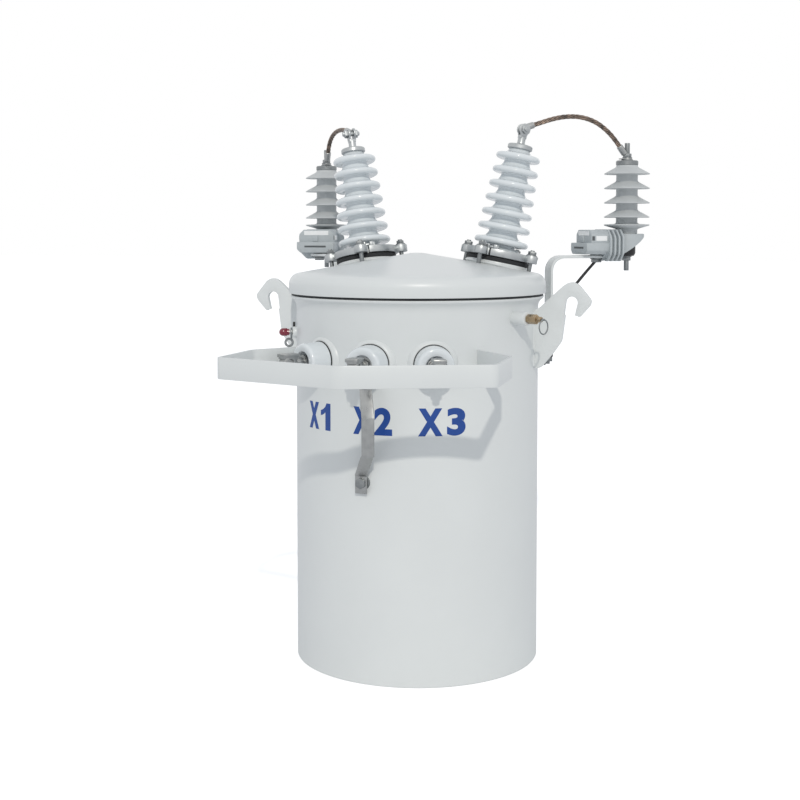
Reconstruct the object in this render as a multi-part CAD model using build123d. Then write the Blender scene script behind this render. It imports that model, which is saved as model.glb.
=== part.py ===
from build123d import *
from math import pi, radians, tan
import os

# A single-phase, self-protected pole mounted distribution transformer, in millimetres.
# The origin is the centre of the tank's foot ring, +Z is up and the low-voltage side faces -Y.
# A bearing is measured from -Y towards +X, seen from above turning anticlockwise.

# Tank
TANK_RADIUS = 220.0
TANK_WALL = 3.0
TANK_TOP = 657.0
FLARE_START = 640.0
FLARE_RADIUS = 230.0
FOOT_RECESS = 12.0
BOTTOM_PLATE = 5.0
OIL_LEVEL = 632.0
GASKET_HEIGHT = 4.0

# Lid, a pressed cone with a turned-down skirt
LID_RADIUS = 233.5
LID_WALL = 4.0
LID_SKIRT = 16.0
SHOULDER_RADIUS = 220.0
SHOULDER_HEIGHT = 696.0
LID_SLOPE = 10.0
LID_CROWN_RADIUS = 15.0

# High-voltage bushings, leaning outwards on round pads
HV_BEARING = 121.5
HV_RADIUS = 150.0
HV_TILT = 11.5
HV_PAD = 6.0
HV_GASKET = 8.0
HV_GASKET_RADIUS = 57.0
HV_FOOT_RADIUS = 44.0
CLAMP_RADIUS = 61.0
CLAMP_THICKNESS = 13.0
CLAMP_EAR_REACH = 80.0
CLAMP_STUD_RADIUS = 68.0
CLAMP_SPLIT = {"left": 58.0, "right": 148.0}
HV_SHEDS = 7
HV_SHED_PITCH = 26.4
HV_FIRST_SHED = 44.5
HV_SHED_RADIUS = 50.0
HV_SHED_TAPER = 1.5
HV_NECK_RADIUS = 27.0
HV_CAP_NECK_RADIUS = 18.5
HV_TOP = 218.0
CAP_RADIUS = 23.0
CAP_HEIGHT = 9.0
EYE_HEIGHT = 256.0
EYE_RADIUS = 11.0

# Low-voltage bushings round the front of the tank
LV_BEARINGS = {"1": -29.5, "2": -1.5, "3": 26.0}
LV_HEIGHT = 550.0
LV_SEAT_RADIUS = 36.0
LV_SEAT_HEIGHT = 3.0
LV_GASKET = 1.6
LV_BASE_RADIUS = 33.0
LV_BODY_RADIUS = 31.5
LV_FACE_RADIUS = 27.5
LV_REACH = 42.0
LV_MOUTH_RADIUS = 17.5
LV_MOUTH_DEPTH = 12.0
LV_EYE_CENTRE = 71.0
LV_EYE_RADIUS = 14.0
LV_EYE_THICKNESS = 9.0
LV_EYE_BORE = 6.5

# Guard band round the low-voltage bushings
BAND_BOTTOM = 538.0
BAND_HEIGHT = 35.0
BAND_TURN = 4.7
BAND_THICKNESS = 5.0
BAND_START = (160.0, -150.0)
BAND_SIDE = (227.0, -259.0)
BAND_FRONT = (231.0, -403.0)
BAND_NOSE = -487.0

# Lifting hooks, plates on the tank's two sides
HOOK_THICKNESS = 8.0
HOOK_SLOT_RADIUS = 10.8
HOOK_SLOT_CENTRE = (287.6, 647.0)

# Support lugs for the pole, on the back
LUG_SPACING = 286.0
LUG_LOWER = 190.0
LUG_STANDOFF = 64.0
LUG_WIDTH = 90.0
LUG_PLATE = 8.0
LUG_HOLE_RADIUS = 9.0

# Earthing strap from the middle low-voltage bushing to the tank
STRAP_WIDTH = 22.0
STRAP_THICKNESS = 3.0
STRAP_BOLT_BEARING = -5.5
STRAP_BOLT_HEIGHT = 348.0
STRAP_ROUTE = [(-1.5, 23.0, 516.8), (1.3, 44.0, 465.0), (1.3, 44.0, 402.0), (-5.5, 4.5, 361.0)]
STRAP_FOOT = 32.0

# Relief valve and breaker fittings
VALVE_BEARING = 68.0
VALVE_HEIGHT = 623.0
VALVE_STUB = 30.0
VALVE_HEXAGON = 8.4
VALVE_BARREL = 51.0
VALVE_END = 59.0
PULL_RING_DEPTH = 63.0
PULL_RING_RADIUS = 12.3
BREAKER_BEARING = -67.0
BREAKER_HEIGHT = 589.0
HANDLE_DEPTH = 9.4
HANDLE_EYE_DROP = 19.0
HANDLE_EYE_DEPTH = 13.8
HANDLE_EYE_RADIUS = 4.5

# Surge arresters and their brackets
BRACKET_BEARING = 125.5
BRACKET_WIDTH = 32.0
BRACKET_THICKNESS = 5.0
BRACKET_LEG = 258.0
BRACKET_TOP = 726.5
BRACKET_BEND = 26.0
BRACKET_PAST_BOLT = 9.0
ARM_BOLT_RADIUS = {"left": 342.0, "right": 354.0}
ARM_HEADING = {"left": -171.0, "right": 125.5}
ARM_TO_ARRESTER = 62.0
ARM_WIDTH = 70.0
ARM_BOTTOM = 728.6
ARM_TOP = 774.6
ARM_LEDGE_TOP = 750.0
ARM_INNER_END = -26.0
ARM_LEDGE_END = -36.0
ARM_OUTER_END = 10.0
ARM_RIBS = (11.0, 19.5, 28.0, 36.0)
ARM_RIB_WIDTH = 86.0
ARM_RIB_HEIGHT = 60.0
ARM_RIB_MIDDLE = 745.5
ARM_SEAT_RADIUS = 33.0
ARRESTER_SHED_RADIUS = 43.0
ARRESTER_NECK_RADIUS = 20.3
ARRESTER_SHED_EDGES = (798.0, 825.0, 852.5, 880.0)
ARRESTER_BOTTOM = 767.0
ARRESTER_TOP = 897.0
STUD_RADIUS = 4.8
STUD_TOP = 941.0
STUD_BOTTOM = 696.0

# Leads
HV_LEAD_DIAMETER = 9.0
EARTH_LEAD_DIAMETER = 5.5

SIDES = {"left": -1, "right": 1}


def bearing_point(bearing, radius, height):
    """A point at a bearing, at a radius from the tank's axis and a height above the foot."""
    return Vector(0, -radius, height).rotate(Axis.Z, bearing)


def wall_plane(bearing, height, radius=TANK_RADIUS):
    """A plane on the tank's wall: z points outwards, y up and x to the right seen from outside."""
    out = bearing_point(bearing, 1, 0)
    return Plane(bearing_point(bearing, radius, height), x_dir=Vector(0, 0, 1).cross(out), z_dir=out)


def lid_height(radius):
    """Height of the lid's outer cone at a radius."""
    return SHOULDER_HEIGHT + (SHOULDER_RADIUS - radius) * tan(radians(LID_SLOPE))


def hv_plane(side):
    """The plane at the foot of a high-voltage bushing, with z along the bushing."""
    bearing = HV_BEARING * SIDES[side]
    out = bearing_point(bearing, 1, 0)
    across = Vector(0, 0, 1).cross(out)
    return Plane(bearing_point(bearing, HV_RADIUS, lid_height(HV_RADIUS)), x_dir=across,
                 z_dir=Vector(0, 0, 1).rotate(Axis((0, 0, 0), across), HV_TILT))


def turned(points):
    """A solid of revolution about Z from (radius, height) points."""
    return revolve(Plane.XZ * make_face(Polyline([*points, points[0]])), Axis.Z)


def rod(radius, start, end):
    """A plain cylinder about Z between two heights."""
    return Pos(0, 0, (start + end) / 2) * Cylinder(radius, end - start)


def plate(points, thickness):
    """A flat plate from a closed outline in XY, centred on that plane."""
    return extrude(make_face(Polyline([*points, points[0]])), thickness / 2, both=True)


def tank_envelope():
    """The space inside the tank's outer wall, which welded-on pieces stop at."""
    return rod(TANK_RADIUS, 0, TANK_TOP)


def tank_shell():
    """The rolled wall with a flared top, a foot ring and flat seats for the low-voltage bushings."""
    inner = TANK_RADIUS - TANK_WALL
    shell = turned([(inner, 0), (TANK_RADIUS, 0), (TANK_RADIUS, FLARE_START), (FLARE_RADIUS, TANK_TOP - 4),
                    (FLARE_RADIUS, TANK_TOP), (inner + 4, TANK_TOP), (inner, FLARE_START + 4)])
    for bearing in LV_BEARINGS.values():
        seat = turned([(0, -4), (LV_SEAT_RADIUS + 7, -4), (LV_SEAT_RADIUS + 7, -2.5),
                       (LV_SEAT_RADIUS, LV_SEAT_HEIGHT), (0, LV_SEAT_HEIGHT)])
        shell += wall_plane(bearing, LV_HEIGHT) * seat - rod(inner, 0, TANK_TOP)
    return shell


def tank_bottom():
    return rod(TANK_RADIUS - TANK_WALL, FOOT_RECESS, FOOT_RECESS + BOTTOM_PLATE)


def oil_and_core():
    """The oil with the core and coils in it, as one block inside the closed tank."""
    return rod(TANK_RADIUS - TANK_WALL - 1, FOOT_RECESS + BOTTOM_PLATE, OIL_LEVEL)


def lid_gasket():
    inner = TANK_RADIUS - TANK_WALL + 5
    top = TANK_TOP + GASKET_HEIGHT
    return rod(FLARE_RADIUS - 1, TANK_TOP, top) - rod(inner, TANK_TOP, top)


def lid_section(shrink):
    """Half of the lid's section down to the skirt's lower edge, set in by a distance."""
    skirt = TANK_TOP + GASKET_HEIGHT
    radius = LID_RADIUS - shrink
    crown = lid_height(LID_CROWN_RADIUS) - shrink
    shoulder = (SHOULDER_RADIUS - shrink * 0.6, SHOULDER_HEIGHT - shrink)
    edge = [Line((0, skirt), (radius, skirt)), Line((radius, skirt), (radius, skirt + LID_SKIRT)),
            TangentArc((radius, skirt + LID_SKIRT), shoulder, tangent=(0, 1)),
            Line(shoulder, (LID_CROWN_RADIUS, crown)), Line((LID_CROWN_RADIUS, crown), (0, crown + 1)),
            Line((0, crown + 1), (0, skirt))]
    return revolve(Plane.XZ * make_face(edge), Axis.Z)


def lid():
    """The pressed lid: a shell with an inner rim that rests on the gasket."""
    seat = TANK_TOP + GASKET_HEIGHT
    rim = rod(LID_RADIUS - 1, seat, seat + LID_WALL) - rod(TANK_RADIUS + 2, seat, seat + LID_WALL)
    return lid_section(0) - lid_section(LID_WALL) + rim


def hv_pad(side):
    """The raised round seat that is welded to the lid under a high-voltage bushing."""
    seat = hv_plane(side) * rod(HV_GASKET_RADIUS - 1, -30, HV_PAD)
    return seat - lid_section(0)


def hv_gasket(side):
    return hv_plane(side) * rod(HV_GASKET_RADIUS, HV_PAD, HV_PAD + HV_GASKET)


def porcelain_section():
    """A high-voltage bushing: a foot, then one shed with a round rim above another."""
    foot = HV_PAD + HV_GASKET
    last = (HV_FOOT_RADIUS, foot + 12)
    lines = [Line((0, foot), (HV_FOOT_RADIUS, foot)), Line((HV_FOOT_RADIUS, foot), last)]
    for number in range(HV_SHEDS):
        rim_height = HV_FIRST_SHED + number * HV_SHED_PITCH
        rim = HV_SHED_RADIUS - number * HV_SHED_TAPER
        neck = HV_NECK_RADIUS - number * 0.5
        above = HV_CAP_NECK_RADIUS if number == HV_SHEDS - 1 else neck
        below = (neck, rim_height - 5.5)
        low = (rim - 6, rim_height - 6)
        high = (rim - 4.5, rim_height + 5.4)
        slope = (above + 6, rim_height + 9)
        lines += [Line(last, below), Line(below, low), ThreePointArc(low, (rim, rim_height), high),
                  Line(high, slope), Line(slope, (above, rim_height + 12.5))]
        last = (above, rim_height + 12.5)
    top = (HV_CAP_NECK_RADIUS, HV_TOP)
    lines += [Line(last, top), Line(top, (0, HV_TOP)), Line((0, HV_TOP), (0, foot))]
    return revolve(Plane.XZ * make_face(lines), Axis.Z)


def clamp_stud_places():
    """The four places of a clamp's studs, midway between the radial and the tangential direction."""
    return PolarLocations(CLAMP_STUD_RADIUS, 4, start_angle=45)


def hv_clamp(side):
    """The split cast ring that holds a bushing's foot down, with four ears."""
    foot = HV_PAD + HV_GASKET + 1
    top = foot + CLAMP_THICKNESS
    ring = rod(CLAMP_RADIUS, foot, top)
    for place in clamp_stud_places():
        ring += place * rod(CLAMP_EAR_REACH - CLAMP_STUD_RADIUS, foot, top)
    gap = Rot(0, 0, CLAMP_SPLIT[side]) * Pos(CLAMP_RADIUS, 0, foot) * Box(60, 3, 3 * CLAMP_THICKNESS)
    return hv_plane(side) * (ring - rod(HV_FOOT_RADIUS + 0.6, foot - 1, top + 1) - gap)


def hv_clamp_studs(side):
    """The studs from the lid up to the clamp's ears, with the nuts above them."""
    foot = HV_PAD + HV_GASKET + 1
    nut = extrude(Pos(0, 0, foot + CLAMP_THICKNESS) * RegularPolygon(8, 6), 7)
    studs = []
    for place in clamp_stud_places():
        studs += [(hv_plane(side) * place * rod(4, -12, foot)) - lid_section(0), hv_plane(side) * place * nut]
    return studs


def hv_terminal(side):
    """The metal cap, stem and eye on top of a bushing, with the clamp bolt across the eye."""
    cap = rod(CAP_RADIUS, HV_TOP, HV_TOP + CAP_HEIGHT)
    stem = rod(6.5, HV_TOP + CAP_HEIGHT, EYE_HEIGHT)
    eye = Pos(0, 0, EYE_HEIGHT) * Rot(90, 0, 0) * Cylinder(EYE_RADIUS, 14)
    bolt = Pos(0, 0, EYE_HEIGHT) * Rot(90, 0, 0) * Cylinder(4.5, 34)
    return hv_plane(side) * (cap + stem + eye + bolt)


def lv_gaskets():
    """The thin dark rings between the low-voltage bushings and their seats."""
    ring = rod(LV_BASE_RADIUS + 1, LV_SEAT_HEIGHT, LV_SEAT_HEIGHT + LV_GASKET)
    return Compound([wall_plane(bearing, LV_HEIGHT) * ring for bearing in LV_BEARINGS.values()])


def lv_bushing(bearing):
    """A low-voltage bushing with a rounded front edge and a recessed mouth."""
    foot = LV_SEAT_HEIGHT + LV_GASKET
    mouth = LV_REACH - LV_MOUTH_DEPTH
    body = turned([(0, foot), (LV_BASE_RADIUS, foot), (LV_BODY_RADIUS, LV_REACH - 4),
                   (LV_FACE_RADIUS + 2.4, LV_REACH - 0.8), (LV_FACE_RADIUS, LV_REACH),
                   (LV_MOUTH_RADIUS, LV_REACH), (LV_MOUTH_RADIUS, mouth), (0, mouth)])
    return wall_plane(bearing, LV_HEIGHT) * body


def lv_terminal(bearing):
    """A stud with a flat-topped eye that takes the low-voltage conductor, and a pressure screw below it."""
    along = Pos(0, 0, LV_EYE_CENTRE) * Rot(0, 90, 0)
    stem = rod(8, LV_REACH - LV_MOUTH_DEPTH, LV_EYE_CENTRE)
    eye = along * Cylinder(LV_EYE_RADIUS, LV_EYE_THICKNESS * 2)
    top = Pos(0, LV_EYE_RADIUS - 1, LV_EYE_CENTRE) * Box(LV_EYE_THICKNESS * 2 + 4, 6, 31)
    screw = Pos(0, -LV_EYE_RADIUS - 4, LV_EYE_CENTRE) * Rot(90, 0, 0) * Cylinder(7, 10)
    bore = along * Cylinder(LV_EYE_BORE, LV_EYE_THICKNESS * 4)
    return wall_plane(bearing, LV_HEIGHT) * (stem + eye + top + screw - bore)


def guard_band():
    """One flat bar bent round the low-voltage bushings and welded to the tank at both ends."""
    right = [BAND_START, BAND_SIDE, BAND_FRONT]
    points = [(-x, y) for x, y in right] + [(0, BAND_NOSE)] + list(reversed(right))
    centre = FilletPolyline(*points, radius=[30, 18, 40, 18, 30])
    bar = trace(centre, BAND_THICKNESS)
    band = Pos(0, 0, BAND_BOTTOM) * Rot(0, 0, BAND_TURN) * extrude(bar, BAND_HEIGHT)
    return band - tank_envelope()


def lifting_hook(side):
    """A profiled plate welded to the tank, with a sling slot that is open below."""
    outline = [(200, 632), (226, 634), (250, 656), (272.5, 676.5), (281, 682), (290, 683.5), (300, 679),
               (322.5, 652), (321, 643), (301, 621), (298.4, 624), (298.4, 647), (276.8, 647), (276.5, 628),
               (270, 579), (253, 555), (232, 530), (200, 530)]
    x, z = HOOK_SLOT_CENTRE
    blank = plate(outline, HOOK_THICKNESS) - Pos(x, z) * Cylinder(HOOK_SLOT_RADIUS, 2 * HOOK_THICKNESS)
    upright = Rot(90, 0, 0) * blank - tank_envelope()
    return upright if side == "right" else mirror(upright, Plane.YZ)


def support_lug(height):
    """A folded bracket on the tank's back with a hole for the pole's bolt."""
    side = LUG_WIDTH / 2
    back = TANK_RADIUS + LUG_STANDOFF
    face = Pos(0, back - LUG_PLATE / 2, height) * Box(LUG_WIDTH, LUG_PLATE, 70)
    legs = [Pos(x, (back + TANK_RADIUS - 60) / 2, height) * Box(LUG_PLATE, back - TANK_RADIUS + 60, 70)
            for x in (-side + LUG_PLATE / 2, side - LUG_PLATE / 2)]
    hole = Pos(0, back, height) * Rot(90, 0, 0) * Cylinder(LUG_HOLE_RADIUS, 60)
    return face + legs[0] + legs[1] - tank_envelope() - hole


def strap_section(bearing, standoff, height):
    """The strap's level cross-section at one place of its route."""
    across = bearing_point(bearing + 90, 1, 0)
    place = Plane(bearing_point(bearing, TANK_RADIUS + standoff, height), x_dir=across)
    return place * Rectangle(STRAP_WIDTH, STRAP_THICKNESS)


def earth_strap():
    """The strap slopes out and down from the middle bushing, hangs, and turns back sideways to its bolt."""
    bar = loft([strap_section(*place) for place in STRAP_ROUTE], ruled=True)
    foot_height = STRAP_ROUTE[-1][2] - STRAP_BOLT_HEIGHT
    foot = Box(STRAP_WIDTH, STRAP_FOOT, STRAP_THICKNESS)
    foot = Pos(0, foot_height - STRAP_FOOT / 2, STRAP_ROUTE[-1][1]) * foot
    return bar + wall_plane(STRAP_BOLT_BEARING, STRAP_BOLT_HEIGHT) * foot


def earth_pad():
    """The boss and hexagon bolt that hold the strap's foot on the tank."""
    plane = wall_plane(STRAP_BOLT_BEARING, STRAP_BOLT_HEIGHT)
    boss = plane * rod(13, -3, 3) - tank_envelope()
    head = plane * extrude(Pos(0, 0, 6) * RegularPolygon(10.5, 6), 8)
    return [boss, head]


def valve_boss():
    plane = wall_plane(VALVE_BEARING, VALVE_HEIGHT)
    return plane * rod(12, -3, VALVE_STUB) - tank_envelope()


def relief_valve():
    """The brass body: a hexagon, then a plain barrel with a bore for the pull stem."""
    hexagon = extrude(Pos(0, 0, VALVE_STUB) * RegularPolygon(VALVE_HEXAGON, 6), VALVE_BARREL - VALVE_STUB)
    barrel = rod(4.8, VALVE_BARREL, VALVE_END)
    bore = rod(2.05, VALVE_STUB + 5, VALVE_END)
    return wall_plane(VALVE_BEARING, VALVE_HEIGHT) * (hexagon + barrel - bore)


def relief_pull():
    """The stem and the wire ring that is pulled by hand to vent the tank."""
    stem = rod(2.0, VALVE_STUB + 9, PULL_RING_DEPTH + 2.4)
    ring = Pos(0, -PULL_RING_RADIUS, PULL_RING_DEPTH) * Torus(PULL_RING_RADIUS, 1.2)
    return wall_plane(VALVE_BEARING, VALVE_HEIGHT) * (stem + ring)


def breaker_boss():
    """The welded boss with the breaker's shaft, which the handle turns on."""
    plane = wall_plane(BREAKER_BEARING, BREAKER_HEIGHT)
    return plane * (rod(10.5, -4, 6.5) + rod(4, 0, 13)) - tank_envelope()


def breaker_handle():
    """The flat lever on the breaker's shaft, with an upright eye for a hot stick at its end."""
    plane = wall_plane(BREAKER_BEARING, BREAKER_HEIGHT)
    hub = rod(8, HANDLE_DEPTH - 1.75, HANDLE_DEPTH + 1.75)
    blade = Pos(0, -7, HANDLE_DEPTH) * Box(9, 14, 3.5)
    across = Pos(0, -HANDLE_EYE_DROP, HANDLE_EYE_DEPTH) * Rot(0, 90, 0)
    eye = across * Cylinder(8.6, 4)
    return plane * (hub + blade + eye - rod(4.05, 0, 30) - across * Cylinder(HANDLE_EYE_RADIUS, 30))


def signal_lamp():
    """The lamp's metal body and its red dome, on the end of the breaker's shaft."""
    plane = wall_plane(BREAKER_BEARING, BREAKER_HEIGHT)
    return plane * (rod(6, 13, 17) + rod(7.2, 17, 24.5) + Pos(0, 0, 24.5) * (Sphere(7.2) & rod(7.2, 0, 7.2)))


def bracket(side):
    """A flat bar from the tank's wall, up past the lid and outwards to carry an arrester arm."""
    end = ARM_BOLT_RADIUS[side] + BRACKET_PAST_BOLT
    top = BRACKET_TOP - BRACKET_THICKNESS / 2
    foot = TANK_RADIUS + BRACKET_THICKNESS / 2
    route = [(foot, 560), (foot, 596), (BRACKET_LEG, 632), (BRACKET_LEG, top), (end, top)]
    bar = trace(FilletPolyline(*route, radius=[12, 12, BRACKET_BEND]), BRACKET_THICKNESS)
    strap = Rot(90, 0, 0) * extrude(bar, BRACKET_WIDTH / 2, both=True)
    return Rot(0, 0, BRACKET_BEARING * SIDES[side] - 90) * strap - tank_envelope()


def arm_location(side):
    """The arm's own frame: the origin at its bolt on the bracket, x along the arm, z up."""
    point = bearing_point(BRACKET_BEARING * SIDES[side], ARM_BOLT_RADIUS[side], 0)
    return Pos(point.X, point.Y, 0) * Rot(0, 0, ARM_HEADING[side] - 90)


def on_arm(side, piece):
    """A piece made about Z, put on the arrester's axis at the end of an arm."""
    return arm_location(side) * Pos(ARM_TO_ARRESTER, 0, 0) * piece


def octagon(width, height, cut):
    """The points of a rectangle with broken corners, with its height along X and its width along Y."""
    x, y = height / 2, width / 2
    return [(-x, -y + cut), (-x + cut, -y), (x - cut, -y), (x, -y + cut), (x, y - cut), (x - cut, y),
            (-x + cut, y), (-x, y - cut)]


def arm_slab(start, width, low, high):
    """A block of the arm from one place along it to the block's outer end."""
    length = ARM_OUTER_END - start
    return Pos(start + length / 2, 0, (low + high) / 2) * Box(length, width, high - low)


def arm_block():
    """The arm's block with broken top corners, over a longer and wider ledge with broken lower corners."""
    upper = arm_slab(ARM_INNER_END, ARM_WIDTH, ARM_LEDGE_TOP - 4, ARM_TOP)
    upper = chamfer(upper.edges().filter_by(Axis.X).group_by(Axis.Z)[-1], 9)
    ledge = arm_slab(ARM_LEDGE_END, ARM_WIDTH + 5, ARM_BOTTOM, ARM_LEDGE_TOP)
    ledge = chamfer(ledge.edges().filter_by(Axis.X).group_by(Axis.Z)[0], 7)
    return upper + ledge


def arrester_arm(side):
    """The moulded insulating arm: a block over the bolt, four ribs on a neck, and the arrester's seat."""
    rib = Rot(0, 90, 0) * plate(octagon(ARM_RIB_WIDTH, ARM_RIB_HEIGHT, 14), 3.4)
    neck = Rot(0, 90, 0) * plate(octagon(ARM_RIB_WIDTH - 18, ARM_RIB_HEIGHT - 16, 10), 34)
    arm = arm_block() + Pos(21, 0, ARM_RIB_MIDDLE) * neck
    for place in ARM_RIBS:
        arm += Pos(place, 0, ARM_RIB_MIDDLE) * rib
    slope = [(-26, 722), (-14, 722), (34, 755), (34, ARRESTER_BOTTOM), (-26, ARRESTER_BOTTOM)]
    wedge = Rot(90, 0, 0) * plate(slope, 70)
    arm += Pos(ARM_TO_ARRESTER, 0, 0) * (rod(ARM_SEAT_RADIUS, 720, ARRESTER_BOTTOM) & wedge)
    bolt_room = rod(20, 700, ARM_BOTTOM)
    return arm_location(side) * (arm - bolt_room - Pos(ARM_TO_ARRESTER, 0, 0) * disconnector())


def arrester_section():
    """The closed half section of an arrester's housing, with thin sloping sheds."""
    neck = ARRESTER_NECK_RADIUS
    rim = ARRESTER_SHED_RADIUS
    points = [(0, ARRESTER_BOTTOM), (neck, ARRESTER_BOTTOM), (neck, 776), (rim, 783), (rim, 784.5),
              (neck, 786)]
    for edge in ARRESTER_SHED_EDGES:
        points += [(neck, edge), (rim, edge - 0.5), (rim, edge + 1.5), (neck, edge + 14)]
    return turned([*points, (neck, ARRESTER_TOP), (0, ARRESTER_TOP)])


def arrester_cap():
    """The metal cap with its stud, nut and washers, which clamp the lead's lug."""
    cap = rod(21, ARRESTER_TOP, 906)
    stud = rod(STUD_RADIUS, 906, STUD_TOP)
    nut = extrude(Pos(0, 0, 912) * RegularPolygon(9, 6), 7)
    washer = rod(11, 906, 912)
    return cap + stud + nut + washer


def disconnector():
    """The dark earth-lead disconnector below an arrester, with its stud and nut."""
    body = turned([(0, 744), (17, 744), (17, 730), (14, 725), (0, 725)])
    return body + rod(STUD_RADIUS, STUD_BOTTOM, 725) + extrude(Pos(0, 0, 716) * RegularPolygon(9, 6), 7)


def arm_bolts():
    """The bolts that hold the arms to the brackets, with their heads below."""
    bolts = []
    for side in SIDES:
        head = extrude(Pos(0, 0, 713) * RegularPolygon(10, 6), BRACKET_TOP - 5 - 713)
        spacer = rod(12, BRACKET_TOP, ARM_BOTTOM)
        bolts += [arm_location(side) * head, arm_location(side) * spacer]
    return Compound(bolts)


def earth_terminal():
    """The earthing boss and bolt on the tank's right side, which the thin lead ends at."""
    plane = wall_plane(105, 540)
    return plane * (rod(11, -3, 14) + extrude(Pos(0, 0, 14) * RegularPolygon(9, 6), 12)) - tank_envelope()


def cord_tube(name, points, diameter):
    """A round lead along straight runs joined by tangent arcs, each as large as its runs allow."""
    runs = [b - a for a, b in zip(points, points[1:])]
    radii = []
    for first, second in zip(runs, runs[1:]):
        turn = first.get_angle(second)
        radii.append(0.45 * min(first.length, second.length) / tan(radians(turn / 2)))
    path = FilletPolyline(*points, radius=radii)
    tube = sweep(Plane(path @ 0, z_dir=path % 0) * Circle(diameter / 2), path=path)
    print(name, "radii", [round(r, 1) for r in radii], "runs", [round(r.length, 1) for r in runs],
          "length", round(path.length, 1),
          "volume over section x length", round(tube.volume / (pi * diameter**2 / 4 * path.length), 4))
    return tube


def right_hv_lead():
    """The right jumper: out of the bushing's eye, over in an arch and down to the arrester's stud."""
    start = hv_plane("right").from_local_coords(Vector(0, 0, EYE_HEIGHT))
    end = bearing_point(BRACKET_BEARING, ARM_BOLT_RADIUS["right"] + ARM_TO_ARRESTER, 0)
    arch = [(0.03, 964), (0.15, 972), (0.28, 981), (0.41, 986), (0.54, 986), (0.67, 979), (0.78, 965),
            (0.88, 945), (0.96, 922)]
    return [Vector(start.X + (end.X - start.X) * t, start.Y + (end.Y - start.Y) * t, z) for t, z in arch]


def left_hv_lead():
    """The left jumper: level from the bushing's eye, then steeply down to the arrester's stud."""
    start = hv_plane("left").from_local_coords(Vector(0, 0, EYE_HEIGHT))
    end = arm_location("left").position + Vector(0, ARM_TO_ARRESTER, 0).rotate(Axis.Z, 9)
    drop = [(0.03, 962), (0.18, 968), (0.35, 972), (0.52, 972), (0.68, 968), (0.81, 959), (0.905, 944),
            (0.96, 921)]
    return [Vector(start.X + (end.X - start.X) * t, start.Y + (end.Y - start.Y) * t, z) for t, z in drop]


def right_earth_lead():
    """The thin lead from the right arm's bolt down behind the hook to the tank's earthing bolt."""
    route = [(286, 203, 714), (274, 187, 697), (260, 165, 675), (245, 138, 651), (236, 114, 624),
             (232, 94, 596), (233, 78, 569), (236, 64, 545)]
    return [Vector(*point) for point in route]


def pieces():
    """Every node of the part, by name."""
    made = {
        "tank_shell": tank_shell(),
        "tank_bottom": tank_bottom(),
        "oil_and_core": oil_and_core(),
        "lid_gasket": lid_gasket(),
        "lid": lid(),
        "lv_gaskets": lv_gaskets(),
        "guard_band": guard_band(),
        "support_lug_upper": support_lug(LUG_LOWER + LUG_SPACING),
        "support_lug_lower": support_lug(LUG_LOWER),
        "earth_strap": earth_strap(),
        "earthing_bolts": Compound([*earth_pad(), earth_terminal()]),
        "hv_pads": Compound([hv_pad(side) for side in SIDES]),
        "hv_gaskets": Compound([hv_gasket(side) for side in SIDES]),
        "hv_clamp_studs": Compound([stud for side in SIDES for stud in hv_clamp_studs(side)]),
        "arrester_caps": Compound([on_arm(side, arrester_cap()) for side in SIDES]),
        "disconnectors": Compound([on_arm(side, disconnector()) for side in SIDES]),
        "valve_boss": valve_boss(),
        "relief_valve": relief_valve(),
        "relief_pull": relief_pull(),
        "breaker_boss": breaker_boss(),
        "breaker_handle": breaker_handle(),
        "signal_lamp": signal_lamp(),
        "arm_bolts": arm_bolts(),
        "hv_lead_right": cord_tube("hv_lead_right", right_hv_lead(), HV_LEAD_DIAMETER),
        "hv_lead_left": cord_tube("hv_lead_left", left_hv_lead(), HV_LEAD_DIAMETER),
        "earth_lead": cord_tube("earth_lead", right_earth_lead(), EARTH_LEAD_DIAMETER),
    }
    for number, bearing in LV_BEARINGS.items():
        made[f"lv_bushing_{number}"] = lv_bushing(bearing)
        made[f"lv_terminal_{number}"] = lv_terminal(bearing)
    for side in SIDES:
        made[f"hv_bushing_{side}"] = hv_plane(side) * porcelain_section()
        made[f"hv_clamp_{side}"] = hv_clamp(side)
        made[f"hv_terminal_{side}"] = hv_terminal(side)
        made[f"lifting_hook_{side}"] = lifting_hook(side)
        made[f"arrester_bracket_{side}"] = bracket(side)
        made[f"arrester_arm_{side}"] = arrester_arm(side)
        made[f"arrester_{side}"] = on_arm(side, arrester_section())
    return made


os.makedirs("parts", exist_ok=True)
for name, solid in pieces().items():
    export_step(solid, f"parts/{name}.step")
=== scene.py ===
# %% [markdown]
# A pole mounted transformer, dressed for the camera. The solids of the real object are already there: they
# come in as the frame, at their real size and place. This lesson gives each of them its true surface, with
# rounded edges, welds, threads and strands, and then a finish worked out from what the real part is made
# of. Every length below is in millimetres until it is used.

# %% Load the frame
from math import atan2, cos, degrees, pi, radians, sin, sqrt, tan

import bmesh
import bpy
from mathutils import Matrix, Vector


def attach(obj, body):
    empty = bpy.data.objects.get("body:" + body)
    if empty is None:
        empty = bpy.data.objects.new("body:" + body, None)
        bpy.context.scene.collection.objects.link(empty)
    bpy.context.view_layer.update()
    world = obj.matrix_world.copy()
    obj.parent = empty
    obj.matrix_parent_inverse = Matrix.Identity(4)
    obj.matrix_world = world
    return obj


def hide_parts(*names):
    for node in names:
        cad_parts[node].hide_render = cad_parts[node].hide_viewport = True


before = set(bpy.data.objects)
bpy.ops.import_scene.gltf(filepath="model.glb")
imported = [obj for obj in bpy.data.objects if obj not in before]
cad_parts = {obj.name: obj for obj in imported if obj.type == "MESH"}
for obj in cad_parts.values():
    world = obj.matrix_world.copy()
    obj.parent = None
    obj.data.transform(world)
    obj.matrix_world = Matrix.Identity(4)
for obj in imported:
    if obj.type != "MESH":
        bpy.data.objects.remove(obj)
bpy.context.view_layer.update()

MM = 0.001
TANK = "tank"

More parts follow.
